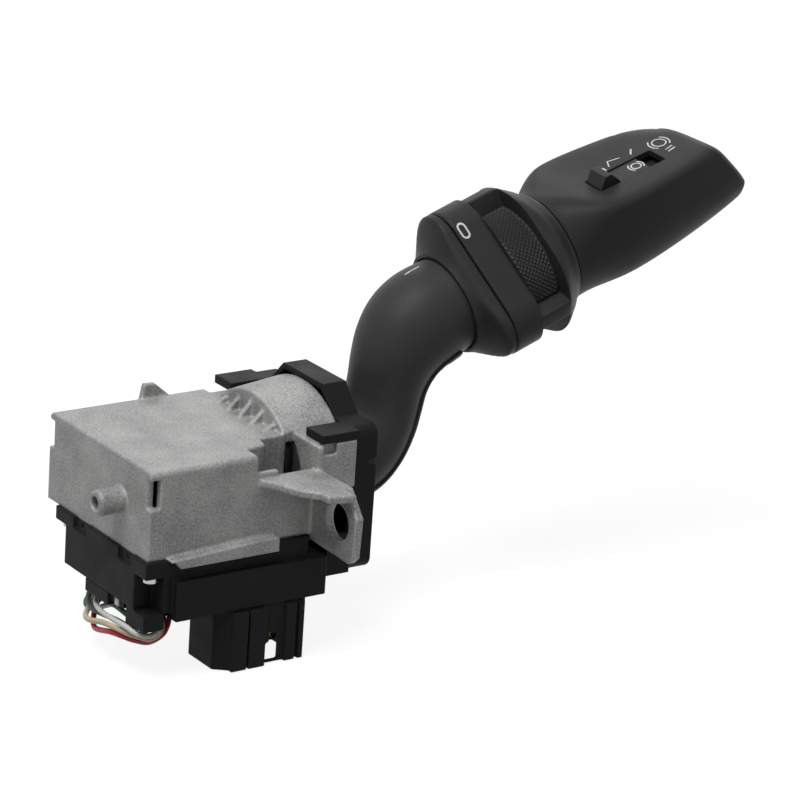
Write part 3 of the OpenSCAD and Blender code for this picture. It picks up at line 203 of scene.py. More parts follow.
class StalkSwitchColours(bpy.types.PropertyGroup):
    """Colours of the finishes"""
    casting: colour("Die casting", "Tumbled aluminium of the housing", "9e9e9d")
    zinc: colour("Zinc casting", "Cast parts inside the pivot", "9b9ca0")
    polyamide: colour("Black polyamide", "Bezel, cover and socket", "202021")
    satin: colour("Satin black", "Knob", "323233")
    # The stalk's colour is the knob's black painted lighter, in place of the light that falls on
    # the stalk
    stalk: colour("Stalk black", "Stalk tube and its strip", "3c3c3d")
    ring: colour("Ring black", "Selector ring and collar", "363637")
    pad: colour("Grip elastomer", "Knurled pads of the ring", "272728")
    ink: colour("Pad-printing ink", "Marks on ring, stalk and knob", "e4e4e2")
    acetal: colour("Natural acetal", "Detent cup and key post", "d8d6cf")
    steel: colour("Steel", "Pins, springs and screws", "b4b5b8")
    brass: colour("Brass", "Plunger and contacts", "b99450")
    board: colour("Solder mask", "Circuit boards", "1e5a38")


class StalkSwitchSizes(bpy.types.PropertyGroup):
    """Sizes of the details that the looks add"""
    casting_edge: length("Casting edge", "Cell size that rounds the casting's edges", 0.3)
    moulding_edge: length("Moulding edge", "Cell size for the mouldings' edges", 0.26)
    fine_edge: length("Fine edge", "Cell size for small parts' edges", 0.15)
    knurl_pitch: length("Knurl pitch", "Spacing of the pads' diamonds", 1.8)
    knurl_height: length("Knurl height", "Height of the pads' diamonds", 0.6)
    mark_width: length("Mark width", "Stroke width of the printed marks", 0.6)
    seam: length("Seam", "Gap between the knob's shell and its cover", 0.35)
    lead: length("Lead", "Diameter of one lead", 1.8)


# Measures of a flat place and of an edge, where the painted edge highlight starts and where it is
# full: the mesh's pointiness, and how far the normal that a round edge has agrees with the
# surface's own
POINTED_SPAN = (0.51, 0.57)
BEVEL_SPAN = (0.985, 0.82)


def add_node(tree, kind, inputs=(), **settings):
    """One shader node with its settings; an input is a value or a socket to link."""
    node = tree.nodes.new("ShaderNode" + kind)
    for name, value in settings.items():
        setattr(node, name, value)
    for name, value in dict(inputs).items():
        if isinstance(value, bpy.types.NodeSocket):
            tree.links.new(value, node.inputs[name])
        else:
            node.inputs[name].default_value = value
    return node


def cleared(owner):
    """Empty shader tree of a material or of the world."""
    owner.use_nodes = True
    owner.node_tree.nodes.clear()
    return owner.node_tree


def finish(name, base, rough, metallic=0.0, specular=0.5, grain=0.3, depth=0.01, mottle=6.0,
           tone=0.12, reach=0.3, drift=1.0, rough_span=0.08, painted_edge_highlight=0.0, round_edge=0.0):
    """Surface with a fine grain of `grain` mm and `depth` mm, and a slow mottle of `mottle` mm
    that shifts its tone and roughness; worn sets a painted highlight, a lighter colour painted on
    the edges in place of the light they catch, and round_edge is the radius in mm at which edges
    catch the light and at which the painted highlight finds them."""
    known = bpy.data.materials.get(name)
    if known:
        return known
    material = bpy.data.materials.new(name)
    tree = cleared(material)
    place = add_node(tree, "TexCoord").outputs["Object"]
    fine = add_node(tree, "TexNoise", {"Vector": place, "Scale": 1 / (grain * MM),
                                       "Detail": 3.0, "Roughness": 0.6})
    slow = add_node(tree, "TexNoise", {"Vector": place, "Scale": 1 / (mottle * MM),
                                       "Detail": 4.0, "Roughness": 0.55})
    blend = add_node(tree, "Math", {0: slow.outputs["Fac"], 1: drift, 2: fine.outputs["Fac"]},
                     operation="MULTIPLY_ADD")
    dark = [c * (1 - tone) for c in base[:3]] + [1.0]
    light = [min(1.0, c * (1 + tone)) for c in base[:3]] + [1.0]
    middle = 0.5 + drift / 2
    span = add_node(tree, "MapRange", {"Value": blend.outputs[0], "From Min": middle - reach,
                                       "From Max": middle + reach})
    tint = add_node(tree, "Mix", {0: span.outputs[0], 6: dark, 7: light}, data_type="RGBA")
    paint = tint.outputs[2]
    surface = add_node(tree, "NewGeometry")
    relief = {"Height": fine.outputs["Fac"], "Strength": 1.0, "Distance": depth * MM}
    edge, flat, sharp = surface.outputs["Pointiness"], *POINTED_SPAN
    if round_edge:
        relief["Normal"] = add_node(tree, "Bevel", {"Radius": round_edge * MM},
                                    samples=8).outputs[0]
        edge = add_node(tree, "VectorMath", {0: relief["Normal"], 1: surface.outputs["Normal"]},
                        operation="DOT_PRODUCT").outputs["Value"]
        flat, sharp = BEVEL_SPAN
    # Painted highlight: a lighter colour painted on the edges in place of the light that they
    # catch
    if painted_edge_highlight:
        highlight_mask = add_node(tree, "MapRange", {"Value": edge, "From Min": flat, "From Max": sharp,
                                             "To Max": painted_edge_highlight})
        bright = [min(1.0, c * 2) for c in base[:3]] + [1.0]
        paint = add_node(tree, "Mix", {0: highlight_mask.outputs[0], 6: paint, 7: bright},
                         data_type="RGBA").outputs[2]
    gloss = add_node(tree, "MapRange",
                     {"Value": slow.outputs["Fac"], "From Min": 0.3, "From Max": 0.7,
                      "To Min": rough - rough_span, "To Max": rough + rough_span})
    bump = add_node(tree, "Bump", relief)
    shader = add_node(tree, "BsdfPrincipled",
                      {"Base Color": paint, "Roughness": gloss.outputs[0], "Metallic": metallic,
                       "Specular IOR Level": specular, "Normal": bump.outputs[0]})
    add_node(tree, "OutputMaterial", {"Surface": shader.outputs[0]})
    return material


def chosen(name):
    """Colour that the panel holds for a finish."""
    return getattr(bpy.context.scene.stalk_switch_colours, name)


def die_cast_aluminium():
    """Tumbled die casting: a sandy satin grain with slow flow marks, and a painted highlight on
    its edges.
    """
    return finish("aluminium_die_cast_tumbled", chosen("casting"), 0.55, metallic=0.2, grain=0.7,
                  depth=0.06, mottle=13, tone=0.36, reach=0.19, drift=0.75, painted_edge_highlight=0.8,
                  round_edge=1.3)


def zinc_die_cast():
    """Zinc die casting with machined bores: smoother and a little bluer than the housing."""
    return finish("zinc_die_cast", chosen("zinc"), 0.42, metallic=0.9, grain=0.4, depth=0.01,
                  tone=0.08)


def glass_filled_polyamide():
    """Glass-filled polyamide, spark-eroded mould: matt, faint grey streaks of fibre."""
    return finish("polyamide_glass_filled", chosen("polyamide"), 0.52, specular=0.08, grain=0.35,
                  depth=0.012, mottle=9, tone=0.14)


def satin_black():
    """ABS blend with an eroded texture of 0.1 mm, drawn at 0.35 mm so that it shows."""
    return finish("abs_blend_satin_eroded", chosen("satin"), 0.48, specular=0.1, grain=0.35,
                  depth=0.009, mottle=14, tone=0.07, rough_span=0.04)


def stalk_black():
    """The knob's blend from a coarser mould, with a drier sheen on the bend; its colour is painted
    lighter than the knob's, in place of the light that falls on the stalk.
    """
    return finish("abs_blend_stalk_eroded", chosen("stalk"), 0.46, specular=0.14, grain=0.4,
                  depth=0.012, mottle=11, tone=0.1, rough_span=0.05)


def ring_black():
    """Polyamide with a finer polish than the stalk, so its edges catch sharper light."""
    return finish("polyamide_fine_satin", chosen("ring"), 0.42, specular=0.1, grain=0.3,
                  depth=0.006, mottle=12, tone=0.07, rough_span=0.04)


def grip_elastomer():
    """Moulded thermoplastic elastomer of the knurled pads: dry and dark, with a painted highlight
    that lightens the knurl's peaks.
    """
    return finish("elastomer_knurled", chosen("pad"), 0.6, specular=0.3, grain=0.3, depth=0.01,
                  tone=0.1, painted_edge_highlight=1.0)


def plain_rubber():
    """Moulded rubber of the glands."""
    return finish("rubber_moulded", srgb("1b1b1c"), 0.65, specular=0.35, depth=0.012)


def printing_ink():
    """Two-part pad-printing ink, slightly uneven in its cover."""
    return finish("ink_pad_printed", chosen("ink"), 0.5, specular=0.4, grain=0.4, depth=0.003,
                  mottle=2, tone=0.05)


def natural_acetal():
    """Unfilled acetal, as moulded: milky and slippery."""
    return finish("acetal_natural", chosen("acetal"), 0.38, grain=0.5, depth=0.004, tone=0.04)


def steel(name, rough):
    """Plated or ground steel: bright, with fine machining marks in its roughness."""
    return finish(name, chosen("steel"), rough, metallic=1.0, grain=0.25, depth=0.004, mottle=3,
                  tone=0.08)


def black_oxide():
    """Blackened steel screws: a dull, slightly mottled coat."""
    return finish("steel_black_oxide", srgb("1c1c1e"), 0.5, metallic=0.3, specular=0.2, mottle=2)


def brass(name, rough):
    """Turned brass, plain or tinned."""
    return finish(name, chosen("brass"), rough, metallic=1.0, grain=0.3, depth=0.004, mottle=4,
                  tone=0.08)


def solder_mask():
    """Green solder mask on glass epoxy: glossy lacquer over a faint weave."""
    return finish("epoxy_board_solder_mask", chosen("board"), 0.3, grain=0.8, depth=0.006,
                  mottle=5, tone=0.15)


def chip_epoxy():
    """Moulded epoxy of the chips and the micro switch."""
    return finish("epoxy_moulded", srgb("18181a"), 0.6, grain=0.3, depth=0.008)


def lead_jacket(name, code):
    """Extruded PVC lead jacket: semi-gloss, smooth, a little dusty."""
    return finish(name, srgb(code), 0.42, grain=0.6, depth=0.004, mottle=5, tone=0.1)


def finishes():
    """Material of each slot of the record."""
    return {
        "die_cast": die_cast_aluminium(), "machined_zinc": zinc_die_cast(),
        "black_moulding": glass_filled_polyamide(), "stalk_black": satin_black(),
        "ring_black": ring_black(), "pad_rubber": grip_elastomer(),
        "gland_rubber": plain_rubber(), "board_green": solder_mask(),
        "chip_black": chip_epoxy(), "contact_tin": brass("brass_tinned", 0.3),
        "zinc_screw": steel("steel_zinc_plated", 0.28), "ground_steel": steel("steel_ground", 0.2),
        "brass_plunger": brass("brass_turned", 0.25),
        "spring_steel": steel("steel_drawn_wire", 0.3),
        "magnet_nickel": steel("nickel_plated_magnet", 0.18),
        "cream_moulding": natural_acetal(), "white_moulding": natural_acetal(),
        "lead_green": lead_jacket("pvc_green", "2c7d55"),
        "lead_black": lead_jacket("pvc_black", "1c1c1d"),
        "lead_white": lead_jacket("pvc_white", "dcdcd8"),
        "lead_beige": lead_jacket("pvc_beige", "cdbd9d"),
        "lead_red": lead_jacket("pvc_red", "b3152c"),
    }


def made_mesh(name, points, faces, matrix=None):
    """Mesh in metres from points in millimetres, with its normals turned outwards."""
    mesh = bpy.data.meshes.new(name)
    bm = bmesh.new()
    verts = [bm.verts.new((matrix @ Vector(p) if matrix else Vector(p)) * MM) for p in points]
    for face in faces:
        bm.faces.new([verts[i] for i in face])
    bmesh.ops.recalc_face_normals(bm, faces=bm.faces)
    bm.to_mesh(mesh)
    bm.free()
    return mesh


def smooth(mesh, angle=32):
    """Smooth shading up to an angle."""
    mesh.polygons.foreach_set("use_smooth", [True] * len(mesh.polygons))
    mesh.set_sharp_from_angle(angle=math.radians(angle))


def new_piece(name, shape, matrix=None):
    """Object from a shape's points and faces."""
    return bpy.data.objects.new(name, made_mesh(name, *shape, matrix=matrix))


def shade(obj, angle=32):
    """Smooth shading up to an angle, with flat faces kept flat."""
    smooth(obj.data, angle)
    weighted = obj.modifiers.new("even_shading", "WEIGHTED_NORMAL")
    weighted.keep_sharp = True
    return obj


def dress(obj, node, material=None, stands_for=()):
    """A piece takes its body, slot and finish from a CAD node and stands for the named nodes."""
    if obj.name not in bpy.context.scene.collection.objects:
        bpy.context.scene.collection.objects.link(obj)
    obj.data.materials.clear()
    obj.data.materials.append(material or finishes()[SLOT[node]])
    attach(obj, BODY[node])
    if stands_for:
        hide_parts(*stands_for)
    return obj


def loft(rings, closed=False, caps=True):
    """Faces through rings of equal length; closed joins the last ring to the first."""
    n, m = len(rings[0]), len(rings)
    points = [p for ring in rings for p in ring]
    faces = []
    for i in range(m if closed else m - 1):
        j = (i + 1) % m
        for k in range(n):
            q = (k + 1) % n
            faces.append((i * n + k, j * n + k, j * n + q, i * n + q))
    if caps and not closed:
        faces.append(tuple(range(n - 1, -1, -1)))
        faces.append(tuple(range((m - 1) * n, m * n)))
    return points, faces


def skinned(name, node, rings, closed=False, matrix=None, angle=32, material=None):
    """Piece with a skin through rings of points, which stands for its CAD node."""
    piece = new_piece(name, loft(rings, closed), matrix)
    return dress(shade(piece, angle), node, material, (node,))


def smooth_line(points, steps):
    """Catmull-Rom line through points of any size, with `steps` parts between two of them."""
    out = []
    last = len(points) - 1
    for i in range(last):
        p0, p1 = points[max(i - 1, 0)], points[i]
        p2, p3 = points[i + 1], points[min(i + 2, last)]
        for k in range(steps):
            t = k / steps
            out.append(tuple(
                0.5 * (2 * b + (c - a) * t + (2 * a - 5 * b + 4 * c - d) * t * t
                       + (3 * b - a - 3 * c + d) * t ** 3)
                for a, b, c, d in zip(p0, p1, p2, p3)))
    return out + [points[last]]


def eased(low, high, x):
    """0 below low, 1 above high, smooth between."""
    t = min(1.0, max(0.0, (x - low) / (high - low)))
    return t * t * (3 - 2 * t)


def softened(node, name, cell, keep=0.2):
    """Piece with the CAD node's own shape, its edges rounded off and its corners filled, as
    in a mould or a die: rebuilt in cells of `cell` mm, eased, and thinned where it is flat."""
    mesh = frame["nodes"][node].data.copy()
    mesh.name = name
    obj = bpy.data.objects.new(name, mesh)
    bpy.context.scene.collection.objects.link(obj)
    cells = obj.modifiers.new("cells", "REMESH")
    cells.mode, cells.voxel_size = "VOXEL", cell
    ease = obj.modifiers.new("ease", "SMOOTH")
    ease.factor, ease.iterations = 0.5, 4
    thin = obj.modifiers.new("thin", "DECIMATE")
    thin.ratio = keep
    return dress(bake(obj, 60), node, stands_for=(node,))


def bake(obj, angle=None):
    """Applies the piece's modifiers to its mesh."""
    graph = bpy.context.evaluated_depsgraph_get()
    done = bpy.data.meshes.new_from_object(obj.evaluated_get(graph))
    obj.modifiers.clear()
    old, obj.data = obj.data, done
    name = old.name
    bpy.data.meshes.remove(old)
    done.name = name
    if angle:
        smooth(done, angle)
    return obj


def carve(obj, cutter_mesh, operation="DIFFERENCE"):
    """Cuts a mesh out of the piece, or keeps only what they share, and bakes the result."""
    scene = bpy.context.scene.collection.objects
    cutter = bpy.data.objects.new("cutter", cutter_mesh)
    for one in (obj, cutter):
        if one.name not in scene:
            scene.link(one)
    tool = obj.modifiers.new("carve", "BOOLEAN")
    tool.operation, tool.solver, tool.object = operation, "EXACT", cutter
    bake(obj)
    bpy.data.objects.remove(cutter)
    bpy.data.meshes.remove(cutter_mesh)
    return obj


def cut(obj, rings, matrix=None):
    """Cuts the solid through rings of points out of the piece."""
    return carve(obj, made_mesh("cutter", *loft(rings), matrix=matrix))


def block(low, high):
    """Points and faces of a box between two corners."""
    points = [(x, y, z) for x in (low[0], high[0]) for y in (low[1], high[1])
              for z in (low[2], high[2])]
    return points, [(0, 1, 3, 2), (4, 6, 7, 5), (0, 4, 5, 1), (2, 3, 7, 6), (0, 2, 6, 4),
                    (1, 5, 7, 3)]


def rounded_rectangle(low, high, radius, height, parts=5):
    """Ring of points round a rectangle with round corners, at a height."""
    ring = []
    for cx, cy, start in ((high[0], high[1], 0), (low[0], high[1], 90), (low[0], low[1], 180),
                          (high[0], low[1], 270)):
        x = cx - radius if cx == high[0] else cx + radius
        y = cy - radius if cy == high[1] else cy + radius
        for k in range(parts + 1):
            a = math.radians(start + 90 * k / parts)
            ring.append((x + radius * math.cos(a), y + radius * math.sin(a), height))
    return ring


def turn(count):
    """Angles of one full turn, in radians."""
    return [2 * math.pi * k / count for k in range(count)]


def knob_top(a):
    """Frame on the knob's top face: x along it, z out of it."""
    height = TOP_REF[1] - (a - TOP_REF[0]) * math.tan(math.radians(TOP_FALL))
    return Matrix.Translation((a, 0, height)) @ Matrix.Rotation(math.radians(TOP_FALL), 4, "Y")


def stalk_rings():
    """Centre, downward direction and radius along the stalk."""
    line = smooth_line(STALK_LINE, STALK_STEPS)
    centres = [PIVOT + Vector((p[0], 0, p[1])) for p in line]
    out = []
    for i, c in enumerate(centres):
        d = (centres[min(i + 1, len(line) - 1)] - centres[max(i - 1, 0)]).normalized()
        out.append((c, Vector((d.z, 0, -d.x)), line[i][2]))
    return out


def stalk_point(ring, grow, angle):
    """Point on the stalk's skin, `grow` mm out; angle 0 is the underside, 90 the back."""
    centre, down, radius = ring
    a = math.radians(angle)
    return centre + (radius + grow) * (math.cos(a) * down + math.sin(a) * Vector((0, 1, 0)))


def lobed_radius(out, flat, angle):
    """Radius of the rounded triangle with lobes of radius `out` and sides at `flat`."""
    d = (out - flat) * 2
    r = out - d
    m = (angle - LOBE_TURN) % 120
    f = m - 120 if m > 60 else m
    edge = math.degrees(math.atan2(d * math.sin(math.radians(60)), flat))
    if abs(abs(f) - 60) < edge:
        return flat / math.cos(math.radians(60 - abs(f)))
    return (d * math.cos(math.radians(f))
            + math.sqrt(r * r - (d * math.sin(math.radians(f))) ** 2))


def soft_min(a, b, k):
    """Smaller of two values, with a fillet of size k where they meet."""
    h = max(k - abs(a - b), 0) / k
    return min(a, b) - h * h * k / 4


def ring_radius(a, angle):
    """Radius of the selector ring's skin at a place along its axis and an angle round it."""
    band = lobed_radius(LOBE_OUT, LOBE_FLAT, angle)
    rear = lobed_radius(REAR_OUT, REAR_FLAT, angle)
    end, radius, slope = next((row for row, after in zip(REAR_CONE, REAR_CONE[1:])
                               if a > after[0]), REAR_CONE[-1])
    r = band + (rear - band) * eased(BAND_A1 - 0.25, BAND_A1 + 0.25, a)
    r = soft_min(r, radius + (end - a) * slope, 1.2)
    off = abs((angle - LOBE_TURN) % 120 - 60)
    inside = 1 - eased(PAD_HALF, POCKET_HALF + POCKET_TAPER, off)
    wall = eased(BAND_A1 - 0.05, BAND_A1 + 0.3, a) * (1 - eased(PAD_A1 - 0.3, PAD_A1 + 0.25, a))
    r -= (r - POCKET_R) * inside * wall
    return r - 0.45 * (1 - eased(RING_A0 - 0.1, RING_A0 + 0.5, a))


def around(r, a, angle):
    """Point at radius r and angle from +y towards +z, at place a along the ring's axis."""
    t = math.radians(angle)
    return (a, r * math.cos(t), r * math.sin(t))


def knob_ring(station, inset, scale, count):
    """One ring of points of the knob's skin."""
    place, half, top, middle, bottom, n_front, n_low, n_back, shift = station
    slant, start, over, reach = KNOB_SLANT
    skew, skew_y = KNOB_SKEW
    lean = min(1.0, max(0.0, (place - start) / over))
    ring = []
    for j in range(count):
        t = 2 * math.pi * (j + 0.5) / count
        c, s = math.cos(t), math.sin(t)
        n = n_low if s <= 0 else n_back if c > 0 else n_front
        rise = (top - middle if s > 0 else bottom + middle) - inset
        y = (half - inset) * math.copysign(abs(c) ** (2 / n), c) * scale + shift
        h = (middle + rise * math.copysign(abs(s) ** (2 / n), s)) * scale
        out = lean * (slant * min(reach, max(0.0, top - h)) - skew * (y - skew_y))
        ring.append((KNOB_A0 + place + out, y, h))
    return ring


def knob_skin(inset=0, count=144, steps=4):
    """Closed skin of the knob: outside, `inset` mm in, from the far end to the neck, then
    inside back."""
    line = smooth_line(KNOB_STATIONS, steps)
    for _ in range(4):
        line[1:-1] = [tuple((a + 2 * b + c) / 4 for a, b, c in zip(*near))
                      for near in zip(line, line[1:], line[2:])]
    last = KNOB_STATIONS[-1]
    ends = smooth_line([(1.0, 0.0)] + KNOB_END, 2)[1:]
    outer = [knob_ring((last[0] + e[1] - inset,) + last[1:], inset, e[0], count)
             for e in reversed(ends)]
    outer += [knob_ring(s, inset, 1, count) for s in reversed(line)]
    inner = [knob_ring(s, KNOB_WALL, 1, count) for s in KNOB_STATIONS]
    inner += [knob_ring((last[0] + e[1] * 0.55,) + last[1:], KNOB_WALL, e[0], count)
              for e in KNOB_END]
    return loft(outer + inner)


def knob_height(a, y):
    """Height of the knob's top skin over its axis at a place and a distance from its middle."""
    place = a - KNOB_A0
    row = KNOB_STATIONS[-1]
    for low, high in zip(KNOB_STATIONS, KNOB_STATIONS[1:]):
        if low[0] <= place <= high[0]:
            t = (place - low[0]) / (high[0] - low[0])
            row = tuple(p + (q - p) * t for p, q in zip(low, high))
            break
    side = (y - row[8]) / row[1]
    n = row[7] if side > 0 else row[5]
    return row[3] + (row[2] - row[3]) * (1 - min(0.999, abs(side)) ** n) ** (1 / n)


def printed(name, strokes, skin, width, node, lift=0.07):
    """Printed strokes as thin ribbons on a surface; skin maps (u, v) in mm to a point."""
    points, faces = [], []
    for stroke in strokes:
        dense = []
        for p, q in zip(stroke, stroke[1:]):
            parts = max(1, int(math.dist(p, q) / STROKE_STEP))
            dense += [(p[0] + (q[0] - p[0]) * k / parts, p[1] + (q[1] - p[1]) * k / parts)
                      for k in range(parts)]
        dense.append(stroke[-1])
        loop = math.dist(stroke[0], stroke[-1]) < 1e-6
        start = len(points)
        for i, p in enumerate(dense):
            before = dense[i - 1] if i else (dense[-2] if loop else p)
            after = dense[i + 1] if i < len(dense) - 1 else (dense[1] if loop else p)
            way = Vector((after[0] - before[0], after[1] - before[1])).normalized()
            side = Vector((-way.y, way.x)) * width / 2
            u = skin(p[0] + SLOPE_STEP, p[1]) - skin(*p)
            v = skin(p[0], p[1] + SLOPE_STEP) - skin(*p)
            out = u.cross(v).normalized()
            for sign, high in ((1, lift), (-1, lift), (-1, -INK_ROOT), (1, -INK_ROOT)):
                points.append(skin(p[0] + sign * side.x, p[1] + sign * side.y) + high * out)
        for at in range(start, len(points) - 4, 4):
            faces += [(at + k, at + q, at + 4 + q, at + 4 + k)
                      for k, q in ((0, 1), (1, 2), (2, 3), (3, 0))]
        if not loop:
            faces.append(tuple(start + k for k in (3, 2, 1, 0)))
            faces.append(tuple(len(points) - 4 + k for k in range(4)))
    return dress(shade(new_piece(name, (points, faces))), node, printing_ink())


def arc(cx, cy, radius, start, end, parts=20):
    """Arc as a stroke, in degrees."""
    return [(cx + radius * math.cos(math.radians(start + (end - start) * k / parts)),
             cy + radius * math.sin(math.radians(start + (end - start) * k / parts)))
            for k in range(parts + 1)]


class SwitchOperator:
    """Shared registration options of the operators."""
    bl_options = {"REGISTER", "UNDO"}


class STALKSWITCH_OT_stage(SwitchOperator, bpy.types.Operator):
    """Floor, light, white surroundings and the camera at the photographed angle"""
    bl_idname = "stalk_switch.stage"
    bl_label = "Stage"

    def execute(self, context):
        scene = context.scene
        scene.view_settings.view_transform = "Standard"
        low = CAD_BOX[0]
        self.camera(scene)
        self.surroundings(scene)
        self.floor(scene, low.z - FLOOR_GAP)
        self.lamp(scene, "key", (-0.34, -0.13, 0.98), (0.08, 0.015, 0.0), 0.7, 9.3)
        self.lamp(scene, "fill", (-1.0, -0.9, 0.3), (0.1, 0.015, 0.02), 1.0, 0.2)
        self.lamp(scene, "rim", (0.75, 0.85, 0.75), (0.12, 0.015, 0.03), 0.7, 2.0)
        return {"FINISHED"}

    def camera(self, scene):
        azimuth, elevation, roll = (math.radians(v) for v in (-35.7, 19.15, 4.0))
        right = Vector((math.cos(azimuth), math.sin(azimuth), 0))
        up = Vector((-math.sin(azimuth) * math.sin(elevation),
                     math.cos(azimuth) * math.sin(elevation), math.cos(elevation)))
        back = Vector((math.sin(azimuth) * math.cos(elevation),
                       -math.cos(azimuth) * math.cos(elevation), math.sin(elevation)))
        x = math.cos(roll) * right + math.sin(roll) * up
        y = -math.sin(roll) * right + math.cos(roll) * up
        # The housing's top front corner lies at this pixel of the 800 by 800 frame
        corner, pixel, side, focal, depth = Vector((0, -17.5, 14)), (152, 474.5), 800, 3800, 1150
        place = (corner - (pixel[0] - side / 2) / focal * depth * x
                 + (pixel[1] - side / 2) / focal * depth * y + depth * back)
        data = bpy.data.cameras.new("camera")
        data.sensor_width, data.lens, data.clip_end = 36, 36 * focal / side, 20
        camera = bpy.data.objects.new("camera", data)
        facing = Matrix((x, y, back)).transposed().to_4x4()
        camera.matrix_world = Matrix.Translation(place * MM) @ facing
        scene.collection.objects.link(camera)
        scene.camera = camera

    def surroundings(self, scene):
        world = bpy.data.worlds.new("studio")
        tree = cleared(world)
        seen = self.seen_directly(tree)
        soft = add_node(tree, "Background", {"Color": srgb("f2f3f5"), "Strength": 0.07})
        white = add_node(tree, "Background", {"Color": srgb("ffffff"), "Strength": 1.0})
        mix = add_node(tree, "MixShader", {0: seen, 1: soft.outputs[0], 2: white.outputs[0]})
        add_node(tree, "OutputWorld", {"Surface": mix.outputs[0]})
        scene.world = world

    def seen_directly(self, tree):
        """1 for camera, glossy and transmission rays."""
        rays = add_node(tree, "LightPath").outputs
        seen = rays["Is Camera Ray"]
        for kind in ("Is Glossy Ray", "Is Transmission Ray"):
            seen = add_node(tree, "Math", {0: seen, 1: rays[kind]},
                            operation="MAXIMUM").outputs[0]
        return seen

    def floor(self, scene, height):
        material = bpy.data.materials.new("studio_floor")
        tree = cleared(material)
        seen = self.seen_directly(tree)
        plain = add_node(tree, "BsdfDiffuse", {"Color": srgb("a2a2a1")})
        thin = add_node(tree, "BsdfDiffuse", {"Color": srgb("858585")})
        glow = add_node(tree, "Emission", {"Color": srgb("ffffff"), "Strength": 0.9})
        pale = add_node(tree, "AddShader", {0: thin.outputs[0], 1: glow.outputs[0]})
        mix = add_node(tree, "MixShader", {0: seen, 1: plain.outputs[0], 2: pale.outputs[0]})
        add_node(tree, "OutputMaterial", {"Surface": mix.outputs[0]})
        mesh = bpy.data.meshes.new("floor")
        mesh.from_pydata([(x, y, height) for x, y in ((-5, -5), (5, -5), (5, 5), (-5, 5))], [],
                         [(0, 1, 2, 3)])
        mesh.materials.append(material)
        floor = bpy.data.objects.new("floor", mesh)
        scene.collection.objects.link(floor)

    def lamp(self, scene, name, place, aim, size, watts):
        data = bpy.data.lights.new(name, "AREA")
        data.shape, data.size, data.energy = "DISK", size, watts
        lamp = bpy.data.objects.new(name, data)
        lamp.location = place
        lamp.rotation_euler = (Vector(aim) - Vector(place)).to_track_quat("-Z", "Y").to_euler()
        scene.collection.objects.link(lamp)


class STALKSWITCH_OT_frame_finishes(SwitchOperator, bpy.types.Operator):
    """Real finishes on every CAD node"""
    bl_idname = "stalk_switch.frame_finishes"
    bl_label = "Finishes of the frame"

    def execute(self, context):
        known = finishes()
        # The board under the slot and the screws at the bezel's edge read as black
        darker = {"slider_board": chip_epoxy(), "bezel_screws": black_oxide()}
        for name, obj in frame["nodes"].items():
            obj.data.materials.clear()
            obj.data.materials.append(darker.get(name) or known[SLOT[name]])
            smooth(obj.data)
        return {"FINISHED"}


class STALKSWITCH_OT_housing(SwitchOperator, bpy.types.Operator):
    """Die-cast housing with rounded casting edges"""
    bl_idname = "stalk_switch.housing"
    bl_label = "Housing"

    def execute(self, context):
        softened("housing", "cast_housing", context.scene.stalk_switch_sizes.casting_edge)
        return {"FINISHED"}


class STALKSWITCH_OT_mouldings(SwitchOperator, bpy.types.Operator):
    """Bezel, lower cover, plug socket and the blocks that hold the leads"""
    bl_idname = "stalk_switch.mouldings"
    bl_label = "Black mouldings"

    def execute(self, context):
        sizes = context.scene.stalk_switch_sizes
        for node, name, edge in (("bezel", "bezel_moulding", sizes.moulding_edge),
                                 ("lower_cover", "cover_moulding", sizes.moulding_edge),
                                 ("plug_socket", "socket_moulding", sizes.moulding_edge),
                                 ("plug_block", "plug_block_moulding", sizes.fine_edge),
                                 ("lead_clip", "clip_moulding", sizes.fine_edge),
                                 ("key_post", "key_post_moulding", sizes.fine_edge)):
            softened(node, name, edge)
        return {"FINISHED"}


class STALKSWITCH_OT_leads(SwitchOperator, bpy.types.Operator):
    """Five PVC leads from gland to gland"""
    bl_idname = "stalk_switch.leads"
    bl_label = "Leads"

    def execute(self, context):
        radius = context.scene.stalk_switch_sizes.lead / 2
        for node, route in LEADS.items():
            start, end = route[0], route[-1]
            top = GLAND_Z - LEAD_START
            low = top - LEAD_STRAIGHT
            points = [start + (top,), start + (low,), *route[1:-1], end + (low,), end + (top,)]
            line = [Vector(p) * MM for p in smooth_line(points, 8)]
            rings = []
            side = Vector((0, 1, 0))
            for i, p in enumerate(line):
                way = (line[min(i + 1, len(line) - 1)] - line[max(i - 1, 0)]).normalized()
                side = (side - way * side.dot(way)).normalized()
                other = way.cross(side)
                rings.append([(p + radius * (math.cos(a) * side + math.sin(a) * other)) / MM
                              for a in turn(16)])
            jacket = skinned(node + "_jacket", node, rings, angle=50)
        return {"FINISHED"}


class STALKSWITCH_OT_stalk(SwitchOperator, bpy.types.Operator):
    """Cranked stalk tube and the strip on its underside"""
    bl_idname = "stalk_switch.stalk"
    bl_label = "Stalk"

    def execute(self, context):
        rings = stalk_rings()
        count = 96
        angles = [360 * k / count for k in range(count)]
        outer = [[stalk_point(r, 0, a) for a in angles] for r in rings]
        inner = [[stalk_point(r, -STALK_WALL, a) for a in angles]
                 for r in rings[::-STALK_STEPS]]
        skinned("stalk_skin", "stalk_tube", outer + inner, closed=True, material=stalk_black())
        # Angle and height of the strip's rounded side, from its foot up
        side = [(STRIP_HALF, STRIP_BASE), (STRIP_HALF, 0.55), (STRIP_HALF - 0.7, 0.86),
                (STRIP_HALF - 2, STRIP_RISE)]
        profile = [(-a, grow) for a, grow in side]
        profile += [(a, STRIP_RISE) for a in range(6 - STRIP_HALF, STRIP_HALF - 5, 4)]
        profile += reversed(side)
        profile += [(a, STRIP_BASE) for a in range(STRIP_HALF - 10, 9 - STRIP_HALF, -10)]
        strip = [[stalk_point(r, grow, a) for a, grow in profile]
                 for r in rings[2 * STALK_STEPS:-11]]
        skinned("underside_strip", "underside_cover", strip, material=stalk_black())
        return {"FINISHED"}


